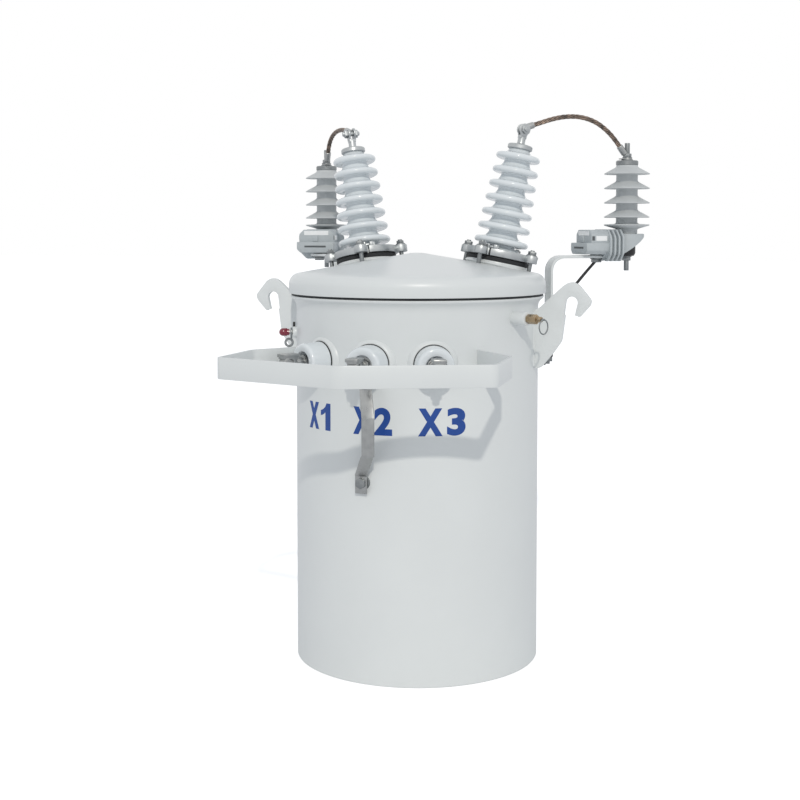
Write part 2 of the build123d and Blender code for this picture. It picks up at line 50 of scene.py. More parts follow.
# %% [markdown]
# The camera. The object was photographed from a little right of its front, at about the height of its lid's
# top, from some two and a half metres away. A camera is placed by three things that can be read off a
# picture: how flat the circles look gives the height, how the two sides differ gives the bearing, and how
# much the far parts shrink gives the distance. The small downward shift keeps the tank's sides upright, as
# in the picture.

# %% Camera
CAMERA_BEARING = 19.0
CAMERA_DISTANCE = 2464.0
CAMERA_HEIGHT = 777.0
CAMERA_PITCH = 3.2
CAMERA_LENS = 60.75
CAMERA_SHIFT = -0.12
LOOK_LEFT = 0.73


def bearing_point(bearing, radius, height):
    """A point in metres, at a bearing from the front, a radius from the tank's axis and a height."""
    angle = radians(bearing)
    return Vector((radius * sin(angle), -radius * cos(angle), height)) * MM


camera_data = bpy.data.cameras.new("camera")
camera_data.lens = CAMERA_LENS
camera_data.shift_y = CAMERA_SHIFT
camera = bpy.data.objects.new("camera", camera_data)
camera.location = bearing_point(CAMERA_BEARING, CAMERA_DISTANCE, CAMERA_HEIGHT)
camera.rotation_euler = (radians(90 - CAMERA_PITCH), 0, radians(CAMERA_BEARING + LOOK_LEFT))
bpy.context.scene.collection.objects.link(camera)
bpy.context.scene.camera = camera
bpy.context.scene.view_settings.view_transform = "Standard"
print("camera at", [round(v, 3) for v in camera.location])

# %% [markdown]
# Floor and light. The object stands on a pale floor in soft light with one gentle sun from behind the
# camera, which is what throws the guard band's shadow on the tank. The background's white is only a colour
# that the camera and mirror-like surfaces see; it doesn't light the object.

# %% Nodes, colours and the floor
SUN_BEARING = 22.3
SUN_HEIGHT = 31.5
SUN_STRENGTH = 1.12
SUN_SPREAD = 1.5
SKY_STRENGTH = 0.66
SUN_COLOUR = "#FFF9EF"
SKY_COLOUR = "#F4F8FF"
FLOOR_COLOUR = "#F6F6F6"
FLOOR_GLOW = 0.42
FLOOR_REACH = 30.0


def linear(hex_colour):
    """An sRGB hex colour as linear red, green, blue and alpha."""
    values = [int(hex_colour[i:i + 2], 16) / 255 for i in (1, 3, 5)]
    return [v / 12.92 if v <= 0.04045 else ((v + 0.055) / 1.055) ** 2.4 for v in values] + [1.0]


def add_node(tree, kind, inputs=None, **settings):
    """Adds a node with its settings. An input is a value, or another node's output to link."""
    node = tree.nodes.new(kind)
    for name, value in settings.items():
        setattr(node, name, value)
    for key, value in (inputs or {}).items():
        if isinstance(value, bpy.types.NodeSocket):
            tree.links.new(value, node.inputs[key])
        else:
            node.inputs[key].default_value = value
    return node


def white_world():
    """A soft even sky for the light, and plain white for what the camera and glossy rays see."""
    world = bpy.data.worlds.new("studio")
    bpy.context.scene.world = world
    world.use_nodes = True
    tree = world.node_tree
    tree.nodes.clear()
    path = add_node(tree, "ShaderNodeLightPath")
    seen = path.outputs["Is Camera Ray"]
    for kind in ("Is Transmission Ray", "Is Glossy Ray"):
        either = add_node(tree, "ShaderNodeMath", {0: seen, 1: path.outputs[kind]}, operation="MAXIMUM")
        seen = either.outputs[0]
    light = add_node(tree, "ShaderNodeBackground", {"Color": linear(SKY_COLOUR), "Strength": SKY_STRENGTH})
    backdrop = add_node(tree, "ShaderNodeBackground", {"Color": (1, 1, 1, 1), "Strength": 1.0})
    mix = add_node(tree, "ShaderNodeMixShader", {0: seen, 1: light.outputs[0], 2: backdrop.outputs[0]})
    add_node(tree, "ShaderNodeOutputWorld", {"Surface": mix.outputs[0]})


def pale_floor():
    """A wide floor that the camera sees as white, with the object's soft shadow on it."""
    bm = bmesh.new()
    bmesh.ops.create_grid(bm, x_segments=1, y_segments=1, size=FLOOR_REACH)
    mesh = bpy.data.meshes.new("floor")
    bm.to_mesh(mesh)
    bm.free()
    floor = bpy.data.objects.new("floor", mesh)
    bpy.context.scene.collection.objects.link(floor)
    material = bpy.data.materials.new("floor_white")
    material.use_nodes = True
    tree = material.node_tree
    tree.nodes.clear()
    diffuse = add_node(tree, "ShaderNodeBsdfDiffuse", {"Color": linear(FLOOR_COLOUR)})
    glow = add_node(tree, "ShaderNodeEmission", {"Color": (1, 1, 1, 1), "Strength": FLOOR_GLOW})
    dark = add_node(tree, "ShaderNodeEmission", {"Color": (0, 0, 0, 1), "Strength": 0.0})
    path = add_node(tree, "ShaderNodeLightPath")
    lift = add_node(tree, "ShaderNodeMixShader",
                    {0: path.outputs["Is Camera Ray"], 1: dark.outputs[0], 2: glow.outputs[0]})
    total = add_node(tree, "ShaderNodeAddShader", {0: diffuse.outputs[0], 1: lift.outputs[0]})
    add_node(tree, "ShaderNodeOutputMaterial", {"Surface": total.outputs[0]})
    mesh.materials.append(material)


def sun_lamp():
    data = bpy.data.lights.new("sun", "SUN")
    data.energy = SUN_STRENGTH
    data.angle = radians(SUN_SPREAD)
    data.color = linear(SUN_COLOUR)[:3]
    lamp = bpy.data.objects.new("sun", data)
    lamp.rotation_euler = (radians(90 - SUN_HEIGHT), 0, radians(SUN_BEARING))
    bpy.context.scene.collection.objects.link(lamp)


white_world()
pale_floor()
sun_lamp()
print("sun", SUN_HEIGHT, "degrees up, at bearing", SUN_BEARING)

# %% [markdown]
# Making shapes. Nearly every piece here is one of three kinds: turned about an axis, cut from a plate, or
# bent from a flat bar. One helper makes each kind with Blender's own mesh operators, and the last one turns
# the result into a finished piece: edges sharper than 32 degrees stay crisp and all others shade smoothly.

# %% Shape helpers
TURN_STEPS = 96
CRISP_ANGLE = radians(32)


def since(bm, before):
    """The vertices that were made since a copy of the vertex set was taken."""
    return [vert for vert in bm.verts if vert not in before]


def faces_on(verts):
    """The faces that use any of some vertices."""
    return list({face for vert in verts for face in vert.link_faces})


def arc(centre_x, centre_y, radius, start, end, steps=6):
    """Points on a circle from one angle in degrees to another."""
    angles = [radians(start + (end - start) * i / steps) for i in range(steps + 1)]
    return [(centre_x + radius * cos(a), centre_y + radius * sin(a)) for a in angles]


def rounded(points, radii, steps=6):
    """An open polyline in a plane with its inner corners replaced by arcs."""
    result = [points[0]]
    for before, corner, after, radius in zip(points, points[1:], points[2:], radii):
        corner = Vector(corner)
        one = (Vector(before) - corner).normalized()
        two = (Vector(after) - corner).normalized()
        half = one.angle(two) / 2
        centre = corner + (one + two).normalized() * radius / sin(half)
        first = corner + one * radius / tan(half) - centre
        last = corner + two * radius / tan(half) - centre
        turn = first.angle_signed(last)
        for i in range(steps + 1):
            result.append(tuple(centre + Matrix.Rotation(-turn * i / steps, 2) @ first))
    return result + [points[-1]]


def turned(bm, profile, steps=TURN_STEPS):
    """Spins (radius, height) points in millimetres about Z. A profile that ends where it starts is a ring."""
    before = set(bm.verts)
    verts = [bm.verts.new((x * MM, 0, z * MM)) for x, z in profile]
    edges = [bm.edges.new(pair) for pair in zip(verts, verts[1:])]
    bmesh.ops.spin(bm, geom=verts + edges, cent=(0, 0, 0), axis=(0, 0, 1), angle=2 * pi, steps=steps,
                   use_merge=True)
    bmesh.ops.remove_doubles(bm, verts=since(bm, before), dist=1e-6)
    made = since(bm, before)
    bmesh.ops.recalc_face_normals(bm, faces=faces_on(made))
    return made


def turning_edges(verts, angle=45):
    """The edges among some vertices where the surface turns by more than an angle in degrees."""
    edges = {edge for vert in verts for edge in vert.link_edges if len(edge.link_faces) == 2}
    return [edge for edge in edges if edge.calc_face_angle(0) > radians(angle)]


def bevel(bm, edges, width, segments=2):
    """Rounds some edges by a width in millimetres."""
    bmesh.ops.bevel(bm, geom=edges, offset=width * MM, offset_type="OFFSET", segments=segments, profile=0.5,
                    affect="EDGES", material=-1, clamp_overlap=True)


def place(bm, verts, matrix):
    """Moves some vertices by a matrix."""
    bmesh.ops.transform(bm, matrix=matrix, verts=verts)


def plate(bm, outline, thickness, edge=0.8, holes=()):
    """A plate cut from a closed outline in XY and centred on that plane. A hole is (x, y, radius)."""
    before = set(bm.verts)
    rings = [outline] + [arc(x, y, radius, 0, 337.5, 15) for x, y, radius in holes]
    edges = []
    for ring in rings:
        verts = [bm.verts.new((x * MM, y * MM, -thickness / 2 * MM)) for x, y in ring]
        edges += [bm.edges.new(pair) for pair in zip(verts, verts[1:] + verts[:1])]
    bmesh.ops.triangle_fill(bm, use_beauty=True, use_dissolve=False, edges=edges, normal=(0, 0, 1))
    lifted = bmesh.ops.extrude_face_region(bm, geom=faces_on(since(bm, before)))["geom"]
    top = [item for item in lifted if isinstance(item, bmesh.types.BMVert)]
    bmesh.ops.translate(bm, verts=top, vec=(0, 0, thickness * MM))
    made = since(bm, before)
    bmesh.ops.recalc_face_normals(bm, faces=faces_on(made))
    if edge:
        rims = [e for e in turning_edges(made, 60) if abs(e.verts[0].co.z - e.verts[1].co.z) < 1e-7]
        bevel(bm, rims, edge)
    return since(bm, before)


def bent_bar(bm, path, width, thickness, edge=0.8):
    """A flat bar bent along a path in XZ, which is its right-hand face. Its width runs along Y."""
    before = set(bm.verts)
    verts = [bm.verts.new((x * MM, -width / 2 * MM, z * MM)) for x, z in path]
    edges = [bm.edges.new(pair) for pair in zip(verts, verts[1:])]
    swept = bmesh.ops.extrude_edge_only(bm, edges=edges)["geom"]
    far = [item for item in swept if isinstance(item, bmesh.types.BMVert)]
    bmesh.ops.translate(bm, verts=far, vec=(0, width * MM, 0))
    faces = faces_on(since(bm, before))
    along = verts[1].co - verts[0].co
    left = Vector((-along.z, 0, along.x))
    first = min(faces, key=lambda face: (face.calc_center_median() - (verts[0].co + verts[1].co) / 2).length)
    first.normal_update()
    bmesh.ops.recalc_face_normals(bm, faces=faces)
    if first.normal.dot(left) > 0:
        bmesh.ops.reverse_faces(bm, faces=faces)
    for face in faces:
        face.normal_update()
    for vert in since(bm, before):
        vert.normal_update()
    bmesh.ops.solidify(bm, geom=faces, thickness=thickness * MM)
    made = since(bm, before)
    bmesh.ops.recalc_face_normals(bm, faces=faces_on(made))
    if edge:
        bevel(bm, turning_edges(made, 60), edge)
    return since(bm, before)


def rod(bm, radius, start, end, edge=0.0, steps=32):
    """A closed cylinder about Z between two heights, with rounded rims."""
    before = set(bm.verts)
    bmesh.ops.create_cone(bm, cap_ends=True, segments=steps, radius1=radius * MM, radius2=radius * MM,
                          depth=(end - start) * MM, matrix=Matrix.Translation((0, 0, (start + end) / 2 * MM)))
    if edge:
        rims = [e for e in turning_edges(since(bm, before)) if abs(e.verts[0].co.z - e.verts[1].co.z) < 1e-7]
        bevel(bm, rims, edge)
    return since(bm, before)


def hexagon(bm, flats, start, end, edge=0.7):
    """A hexagon head or nut about Z, by its width across the flats, with its corners turned down."""
    return rod(bm, flats / sqrt(3), start, end, edge, steps=6)


def block(bm, size, centre, edge=0.6, segments=2):
    """A block with all its edges rounded."""
    before = set(bm.verts)
    scale = Matrix.Diagonal((*[value * MM for value in size], 1))
    bmesh.ops.create_cube(bm, size=1, matrix=Matrix.Translation([value * MM for value in centre]) @ scale)
    if edge:
        bevel(bm, turning_edges(since(bm, before)), edge, segments)
    return since(bm, before)


def tube(bm, points, radius, closed=False):
    """A round tube of a radius in millimetres along points in metres."""
    before = set(bm.verts)
    curve = bpy.data.curves.new("tube", "CURVE")
    curve.dimensions = "3D"
    curve.bevel_depth = radius * MM
    curve.bevel_resolution = 3
    curve.use_fill_caps = not closed
    spline = curve.splines.new("POLY")
    spline.points.add(len(points) - 1)
    for point, where in zip(spline.points, points):
        point.co = (*where, 1)
    spline.use_cyclic_u = closed
    holder = bpy.data.objects.new("tube", curve)
    mesh = bpy.data.meshes.new_from_object(holder)
    bm.from_mesh(mesh)
    bpy.data.objects.remove(holder)
    bpy.data.curves.remove(curve)
    bpy.data.meshes.remove(mesh)
    made = since(bm, before)
    bmesh.ops.remove_doubles(bm, verts=made, dist=1e-7)
    made = since(bm, before)
    bmesh.ops.recalc_face_normals(bm, faces=faces_on(made))
    return made


def finished(name, bm, material, replaces=(), body=TANK, where=None):
    """Puts a bmesh in its place and makes it a piece with its finish, riding on its body."""
    if where is not None:
        place(bm, list(bm.verts), where)
    for edge in bm.edges:
        edge.smooth = not (len(edge.link_faces) == 2 and edge.calc_face_angle(0) > CRISP_ANGLE)
    for face in bm.faces:
        face.smooth = True
    mesh = bpy.data.meshes.new(name)
    bm.to_mesh(mesh)
    bm.free()
    piece = bpy.data.objects.new(name, mesh)
    bpy.context.scene.collection.objects.link(piece)
    mesh.materials.append(material)
    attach(piece, body)
    if replaces:
        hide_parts(*replaces)
    print(f"{name}: {len(mesh.polygons)} faces")
    return piece


print("helpers ready")

# %% [markdown]
# Where things are. Three small frames of reference carry most pieces, so each is modelled upright about its
# own Z and then put in place by one matrix. They are a spot on the tank's wall, the foot of a leaning
# bushing on the lid, and the bolt of an arrester's arm.

# %% Frames of reference
TANK_RADIUS = 220.0
LID_SLOPE = 10.0
HV_BEARING = 121.5
HV_RADIUS = 150.0
HV_TILT = 11.5
BRACKET_BEARING = 125.5
ARM_BOLT_RADIUS = {"left": 342.0, "right": 354.0}
ARM_HEADING = {"left": -171.0, "right": 125.5}
ARM_TO_ARRESTER = 62.0
SIDES = {"left": -1, "right": 1}


def frame_at(origin, x_axis, z_axis):
    """A matrix with its origin and two of its axes given."""
    z_axis = z_axis.normalized()
    x_axis = x_axis.normalized()
    y_axis = z_axis.cross(x_axis)
    turn = Matrix((x_axis, y_axis, z_axis)).transposed().to_4x4()
    return Matrix.Translation(origin) @ turn


def wall_frame(bearing, height, radius=TANK_RADIUS):
    """A spot on the tank's wall: Z points outwards, Y up and X to the right seen from outside."""
    out = bearing_point(bearing, 1000, 0)
    return frame_at(bearing_point(bearing, radius, height), Vector((0, 0, 1)).cross(out), out)


def lid_height(radius):
    return 696.0 + (220.0 - radius) * tan(radians(LID_SLOPE))


def hv_frame(side):
    """The foot of a high-voltage bushing: Z runs along the bushing and X round the tank."""
    out = bearing_point(HV_BEARING * SIDES[side], 1000, 0)
    up = Vector((0, 0, 1))
    lean = radians(HV_TILT)
    origin = bearing_point(HV_BEARING * SIDES[side], HV_RADIUS, lid_height(HV_RADIUS))
    return frame_at(origin, up.cross(out), out * sin(lean) + up * cos(lean))


def arm_frame(side):
    """The bolt of an arrester's arm at height 0: X runs along the arm."""
    origin = bearing_point(BRACKET_BEARING * SIDES[side], ARM_BOLT_RADIUS[side], 0)
    return frame_at(origin, bearing_point(ARM_HEADING[side], 1000, 0), Vector((0, 0, 1)))


def arrester_frame(side):
    """The axis of an arrester at height 0, at the end of its arm."""
    return arm_frame(side) @ Matrix.Translation((ARM_TO_ARRESTER * MM, 0, 0))


FACE_ALONG_X = Matrix.Rotation(pi / 2, 4, "Y")
FACE_ALONG_Y = Matrix.Rotation(-pi / 2, 4, "X")
for side in SIDES:
    print(side, "bushing foot", [round(v, 4) for v in hv_frame(side).translation],
          "arrester", [round(v, 4) for v in arrester_frame(side).translation])

# %% [markdown]
# Finishes. Each one starts from what the real part is made of. They share one recipe: a principled surface,
# a slight cloudy change of colour, a change of gloss, and a fine relief, each at the size that the real
# process leaves. The sizes are in millimetres and the pattern's scale is one over the size in metres.

# %% The recipe for a finish
FINISHES = {}


def finish(name, colour, roughness, metallic=0.0, cloud_mm=60.0, cloud=0.04, grain_mm=2.0, relief_mm=0.02,
           gloss_change=0.08, ior=None, coat=0.0):
    """One finish. Cloud is how far its colour changes, and relief is the height of its grain."""
    material = bpy.data.materials.new(name)
    material.use_nodes = True
    tree = material.node_tree
    tree.nodes.clear()
    where = add_node(tree, "ShaderNodeTexCoord")
    spot = where.outputs["Object"]
    clouds = add_node(tree, "ShaderNodeTexNoise",
                      {"Vector": spot, "Scale": 1000 / cloud_mm, "Detail": 4.0, "Roughness": 0.55})
    grain = add_node(tree, "ShaderNodeTexNoise",
                     {"Vector": spot, "Scale": 1000 / grain_mm, "Detail": 2.0, "Roughness": 0.5})
    shade = add_node(tree, "ShaderNodeMapRange",
                     {"Value": clouds.outputs["Fac"], "From Min": 0.3, "From Max": 0.7, "To Min": 1 - cloud,
                      "To Max": 1 + cloud * 0.5})
    tint = add_node(tree, "ShaderNodeMix", {"Factor": 1.0, 6: linear(colour), 7: shade.outputs[0]},
                    data_type="RGBA", blend_type="MULTIPLY")
    gloss = add_node(tree, "ShaderNodeMapRange",
                     {"Value": clouds.outputs["Fac"], "From Min": 0.3, "From Max": 0.7,
                      "To Min": max(roughness - gloss_change, 0.02), "To Max": roughness + gloss_change})
    relief = add_node(tree, "ShaderNodeBump",
                      {"Height": grain.outputs["Fac"], "Strength": 0.6, "Distance": relief_mm * MM})
    surface = add_node(tree, "ShaderNodeBsdfPrincipled",
                       {"Base Color": tint.outputs[2], "Roughness": gloss.outputs[0], "Metallic": metallic,
                        "Normal": relief.outputs[0], "Coat Weight": coat, "Coat Roughness": 0.06})
    if ior:
        surface.inputs["IOR"].default_value = ior
    add_node(tree, "ShaderNodeOutputMaterial", {"Surface": surface.outputs[0]})
    FINISHES[name] = material
    return material


# %% [markdown]
# The painted steel. Outdoor enamel is sprayed and baked: it is even in colour, half glossy, and has the
# faint dimples of spray paint, about two millimetres apart.

# %% Enamel, glaze, rubber and plastics
ENAMEL = finish("sprayed_grey_enamel", "#DADEDE", 0.34, cloud_mm=140, cloud=0.02, grain_mm=2.2,
                relief_mm=0.012, gloss_change=0.03, ior=1.5)
# Wet-process porcelain under a light grey glaze: very smooth and glassy, with a slow waviness.
GLAZE = finish("glazed_porcelain", "#DDE3E6", 0.13, cloud_mm=50, cloud=0.03, grain_mm=9, relief_mm=0.04,
               gloss_change=0.04, ior=1.52, coat=0.5)
# Nitrile rubber gaskets, which look nearly black and matt.
RUBBER = finish("nitrile_rubber", "#232528", 0.75, cloud_mm=8, cloud=0.15, grain_mm=0.8, relief_mm=0.03)
# Moulded silicone of the arresters: light grey, satin and slightly dusty.
SILICONE = finish("moulded_silicone", "#C3C7C8", 0.5, cloud_mm=25, cloud=0.05, grain_mm=1.2, relief_mm=0.02,
                  gloss_change=0.05, ior=1.42)
# Glass-filled polyester of the arms: duller and a little darker than the paint, with a fine grain.
POLYESTER = finish("glass_filled_polyester", "#B4BBBE", 0.55, cloud_mm=12, cloud=0.06, grain_mm=0.9,
                   relief_mm=0.03, ior=1.55)
# Black moulded parts: the disconnectors and the stop by the breaker's shaft.
BLACK_MOULDING = finish("black_moulding", "#1B1C1E", 0.42, cloud_mm=10, cloud=0.1, grain_mm=0.7,
                        relief_mm=0.02)
# The earth lead's sheath, soft black vinyl.
VINYL = finish("black_vinyl", "#17181A", 0.5, cloud_mm=10, cloud=0.1, grain_mm=1.0, relief_mm=0.02)
# A printed label without words: satin white film.
LABEL_FILM = finish("white_label_film", "#F0F2F2", 0.4, cloud_mm=20, cloud=0.01, grain_mm=1.0,
                    relief_mm=0.002)
# Screen-printed blue ink for the terminal marks.
BLUE_INK = finish("blue_marking_ink", "#0F4290", 0.45, cloud_mm=15, cloud=0.06, grain_mm=1.0, relief_mm=0.004,
                  ior=1.5)
# Painted shade: a dark grey that stands in for the shade inside the small recesses of the mouldings.
SHADE = finish("recess_shade", "#55595B", 0.7, cloud_mm=10, cloud=0.05, grain_mm=1.0, relief_mm=0.01)
# The lamp's lens, deep red glossy plastic.
RED_LENS = finish("red_lamp_lens", "#7E1C33", 0.12, cloud_mm=10, cloud=0.05, grain_mm=3.0, relief_mm=0.004,
                  gloss_change=0.03, ior=1.49, coat=0.4)
# Oil and core behind the closed walls: it never shows.
OIL = finish("sealed_fill", "#8A7340", 0.5)
print(len(FINISHES), "finishes so far")

# %% [markdown]
# The metals. Cast aluminium keeps the grain of its mould, galvanised steel has dull crystals a few
# millimetres wide, tinned copper is smoother and warmer, and turned brass shows faint rings. Bare copper
# strands darken unevenly outdoors, so the copper is mixed with a brown film where a cloudy pattern is high.

# %% Metals
CAST_ALUMINIUM = finish("cast_aluminium", "#B4B8BA", 0.42, metallic=1.0, cloud_mm=14, cloud=0.10,
                        grain_mm=1.3, relief_mm=0.06, gloss_change=0.12)
GALVANISED = finish("galvanised_steel", "#8E9294", 0.46, metallic=1.0, cloud_mm=5, cloud=0.16, grain_mm=1.0,
                    relief_mm=0.03, gloss_change=0.12)
TINNED_COPPER = finish("tinned_copper", "#A9ABAB", 0.36, metallic=1.0, cloud_mm=9, cloud=0.10, grain_mm=1.0,
                       relief_mm=0.03, gloss_change=0.1)
BRASS = finish("turned_brass", "#A8957A", 0.3, metallic=1.0, cloud_mm=6, cloud=0.10, grain_mm=0.8,
               relief_mm=0.02, gloss_change=0.08)


def aged_copper():
    """Copper strands with a brown film in uneven patches about ten millimetres long."""
    material = finish("aged_copper_strand", "#9C8A7E", 0.42, metallic=1.0, cloud_mm=10, cloud=0.10,
                      grain_mm=0.8, relief_mm=0.02)
    tree = material.node_tree
    surface = next(node for node in tree.nodes if node.type == "BSDF_PRINCIPLED")
    old_colour = surface.inputs["Base Color"].links[0].from_socket
    where = add_node(tree, "ShaderNodeTexCoord")
    patches = add_node(tree, "ShaderNodeTexNoise",
                       {"Vector": where.outputs["Object"], "Scale": 95.0, "Detail": 5.0})
    amount = add_node(tree, "ShaderNodeMapRange", {"Value": patches.outputs["Fac"], "From Min": 0.42,
                                                  "From Max": 0.62, "To Min": 0.15, "To Max": 0.9})
    film = add_node(tree, "ShaderNodeMix", {"Factor": amount.outputs[0], 6: old_colour, 7: linear("#4A443F")},
                    data_type="RGBA")
    tree.links.new(film.outputs[2], surface.inputs["Base Color"])
    metal = add_node(tree, "ShaderNodeMapRange", {"Value": amount.outputs[0], "To Min": 1.0, "To Max": 0.35})
    tree.links.new(metal.outputs[0], surface.inputs["Metallic"])
    return material


COPPER = aged_copper()
print("all finishes:", ", ".join(sorted(FINISHES)))

# %% [markdown]
# The tank. On the real one a sheet is rolled into a cylinder, welded up the back and flared at the top to
# carry the lid. A turned profile with a small round at the foot and a soft flare gives exactly that, and a
# thin bead up the back is the seam.

# %% Tank wall, bottom and what is sealed inside
LV_BEARINGS = {"1": -29.5, "2": -1.5, "3": 26.0}
LV_HEIGHT = 550.0


def tank_wall():
    bm = bmesh.new()
    flare = [(220, 636), (220.5, 641), (222.2, 645.6), (225, 649.2), (228, 651.6), (229.6, 653.2),
             (230, 654.6)]
    lip = [(230, 656), (229.4, 656.8), (228.6, 657), (222, 657), (221, 656.4)]
    inner = [(217.6, 646), (217, 640), (217, 320), (217, 1), (217.4, 0.2), (218.2, 0)]
    foot = [(218.2, 0), (219.2, 0.3), (220, 1.4), (220, 160), (220, 320), (220, 480)]
    turned(bm, [*foot, *flare, *lip, *inner], steps=2 * TURN_STEPS)
    tube(bm, [bearing_point(163, 220, z) for z in range(4, 634, 30)], 1.6)
    for bearing in LV_BEARINGS.values():
        seat = turned(bm, [(0, -6), (44, -6), (43.2, -4.2), (41.6, -1.6), (39.6, 0.4), (37.6, 1.8),
                           (36.4, 2.7), (35.4, 3), (0, 3)])
        place(bm, seat, wall_frame(bearing, LV_HEIGHT))
    return finished("tank_wall", bm, ENAMEL, ["tank_shell"])


tank_wall()
for name, material in (("tank_bottom", ENAMEL), ("oil_and_core", OIL)):
    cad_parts[name].material_slots[0].material = material

# %% [markdown]
# The lid is pressed from plate: a shallow cone with a rounded shoulder and a straight skirt. The gasket
# below it shows as a dark line all round, so it is a ring of its own that sits a little further in than the
# skirt.

# %% Lid and its gasket
def lid():
    bm = bmesh.new()
    shoulder = arc(213.4, 677, 20.1, 0, 70.8, 14)
    cone = [(190, lid_height(190)), (120, lid_height(120)), (60, lid_height(60)), (22, lid_height(22) - 0.2),
            (12, lid_height(15) + 0.5), (0, lid_height(15) + 0.9)]
    under = [(0, lid_height(15) - 4), (60, lid_height(60) - 4), (213, lid_height(213) - 4), (225, 690),
             (229.5, 677), (229.5, 665), (222, 665), (222, 661)]
    turned(bm, [(232.7, 661), (233.3, 661.4), (233.5, 662.2), *shoulder, *cone], steps=2 * TURN_STEPS)
    turned(bm, [(232.7, 661), *reversed(under)], steps=2 * TURN_STEPS)
    bmesh.ops.remove_doubles(bm, verts=list(bm.verts), dist=1e-6)
    bmesh.ops.recalc_face_normals(bm, faces=list(bm.faces))
    return finished("pressed_lid", bm, ENAMEL, ["lid"])


def lid_gasket():
    bm = bmesh.new()
    turned(bm, [(222, 657), (228.4, 657), (229, 657.8), (229.2, 659), (229, 660.2), (228.4, 661), (222, 661),
                (222, 657)], steps=2 * TURN_STEPS)
    return finished("lid_gasket_ring", bm, RUBBER, ["lid_gasket"])


lid()
lid_gasket()

# %% [markdown]
# The two seats under the high-voltage bushings are short round stubs welded on the lid. The weld bead
# follows the line where stub and lid meet. That line is almost a circle in the lid's slope, so a thin ring
# makes it. Each rubber gasket on a seat is 8 mm tall, so its dark ring is partly the real gasket and partly
# painted shade for the shadowed gap under the clamp ring.

# %% Seats and gaskets under the bushings
HV_PAD = 6.0
HV_SEAT_RADIUS = 56.0
HV_GASKET_AND_GAP_SHADE_TOP = 14.0


def seats():
    bm = bmesh.new()
    for side in SIDES:
        stub = turned(bm, [(0, -14), (HV_SEAT_RADIUS, -14), (HV_SEAT_RADIUS, HV_PAD - 1),
                           (55.7, HV_PAD - 0.3), (55, HV_PAD), (0, HV_PAD)])
        place(bm, stub, hv_frame(side))
        ring = [hv_frame(side) @ Matrix.Rotation(radians(HV_TILT - LID_SLOPE), 4, "X")
                @ Vector((x * MM, y * MM, 0.4 * MM)) for x, y in arc(0, 0, 56.6, 0, 352.5, 47)]
        tube(bm, ring, 2.4, closed=True)
    return finished("bushing_seats", bm, ENAMEL, ["hv_pads"])


# Partly painted shade: the gaskets run 8 mm up to the clamp rings, so their dark rubber also fills the
# shadowed gap there.
def bushing_gaskets_and_gap_shade():
    bm = bmesh.new()
    for side in SIDES:
        place(bm, turned(bm, [(0, HV_PAD), (56, HV_PAD), (56.8, 7), (57, 8), (57, 12), (56.8, 13),
                              (56, HV_GASKET_AND_GAP_SHADE_TOP), (0, HV_GASKET_AND_GAP_SHADE_TOP)]),
              hv_frame(side))
    return finished("bushing_gaskets_and_gap_shade", bm, RUBBER, ["hv_gaskets"])


seats()
bushing_gaskets_and_gap_shade()

# %% [markdown]
# The porcelain of a high-voltage bushing is one solid of revolution: a foot, then seven sheds. Each shed
# has a fat round rim, an almost flat underside that stays dry in rain, and a sloped top that sheds the
# water. Only one shed's outline is drawn, and a loop stacks it with the slight taper of the real one.

# %% High-voltage bushings
SHEDS = 7
SHED_PITCH = 26.4
FIRST_SHED = 44.5


def shed_outline(number):
    """One shed, from the neck below it to the neck above it."""
    height = FIRST_SHED + number * SHED_PITCH
    rim = 50.0 - number * 1.5
    neck = 27.0 - number * 0.5
    above = 18.5 if number == SHEDS - 1 else neck
    under = [(neck, height - 9), (neck + 0.8, height - 7), (neck + 2.6, height - 6), (neck + 6, height - 5.8)]
    reach = rim - 3.2 - above
    steps = [i / 14 for i in range(1, 15)]
    over = [(above + reach * (1 - t), height + 5.0 + 3.2 * t + 6.8 * t ** 5) for t in steps]
    return [*under, *arc(rim - 5.7, height - 0.1, 5.7, -94, 64, 12), *over]


def porcelain(side):
    bm = bmesh.new()
    profile = [(0, 14), (43, 14), (44, 15), (44, 25), (43.2, 27), (40, 29.5), (34, 32), (29.5, 34)]
    for number in range(SHEDS):
        profile += shed_outline(number)
    profile += [(18.5, 218), (0, 218)]
    place(bm, turned(bm, profile), hv_frame(side))
    return finished(f"porcelain_{side}", bm, GLAZE, [f"hv_bushing_{side}"])


for side in SIDES:
    porcelain(side)

# %% [markdown]
# The foot of each bushing is held down by a cast aluminium ring with four ears and one split, where a small
# screw draws it together. Its outline is one closed line: round the outside with the ears, then back along
# the bore. The casting's edges are well rounded, which a wide bevel gives.

# %% Clamp rings with their studs
CLAMP_BOTTOM = 15.0
CLAMP_TOP = 28.0
CLAMP_RADIUS = 61.0
STUD_RADIUS = 68.0
CLAMP_SPLIT = {"left": 58.0, "right": 148.0}
EAR_ANGLES = (45, 135, 225, 315)


def clamp_outline(split):
    """The ring with its ears from one side of the split round to the other and back along the bore."""
    outside = []
    angles = [split + 1.5 + i * 3 for i in range(120)]
    for ear in sorted(EAR_ANGLES, key=lambda ear: (ear - split) % 360):
        turn = split + (ear - split) % 360
        before = [angle for angle in angles if angle < turn - 9.5]
        angles = [angle for angle in angles if angle > turn + 9.5]
        outside += [(CLAMP_RADIUS * cos(radians(a)), CLAMP_RADIUS * sin(radians(a))) for a in before]
        outside += arc(STUD_RADIUS * cos(radians(turn)), STUD_RADIUS * sin(radians(turn)), 12, turn - 126,
                       turn + 126, 12)
    outside += [(CLAMP_RADIUS * cos(radians(a)), CLAMP_RADIUS * sin(radians(a))) for a in angles]
    return outside + arc(0, 0, 44.6, split + 358.2, split + 1.8, 72)


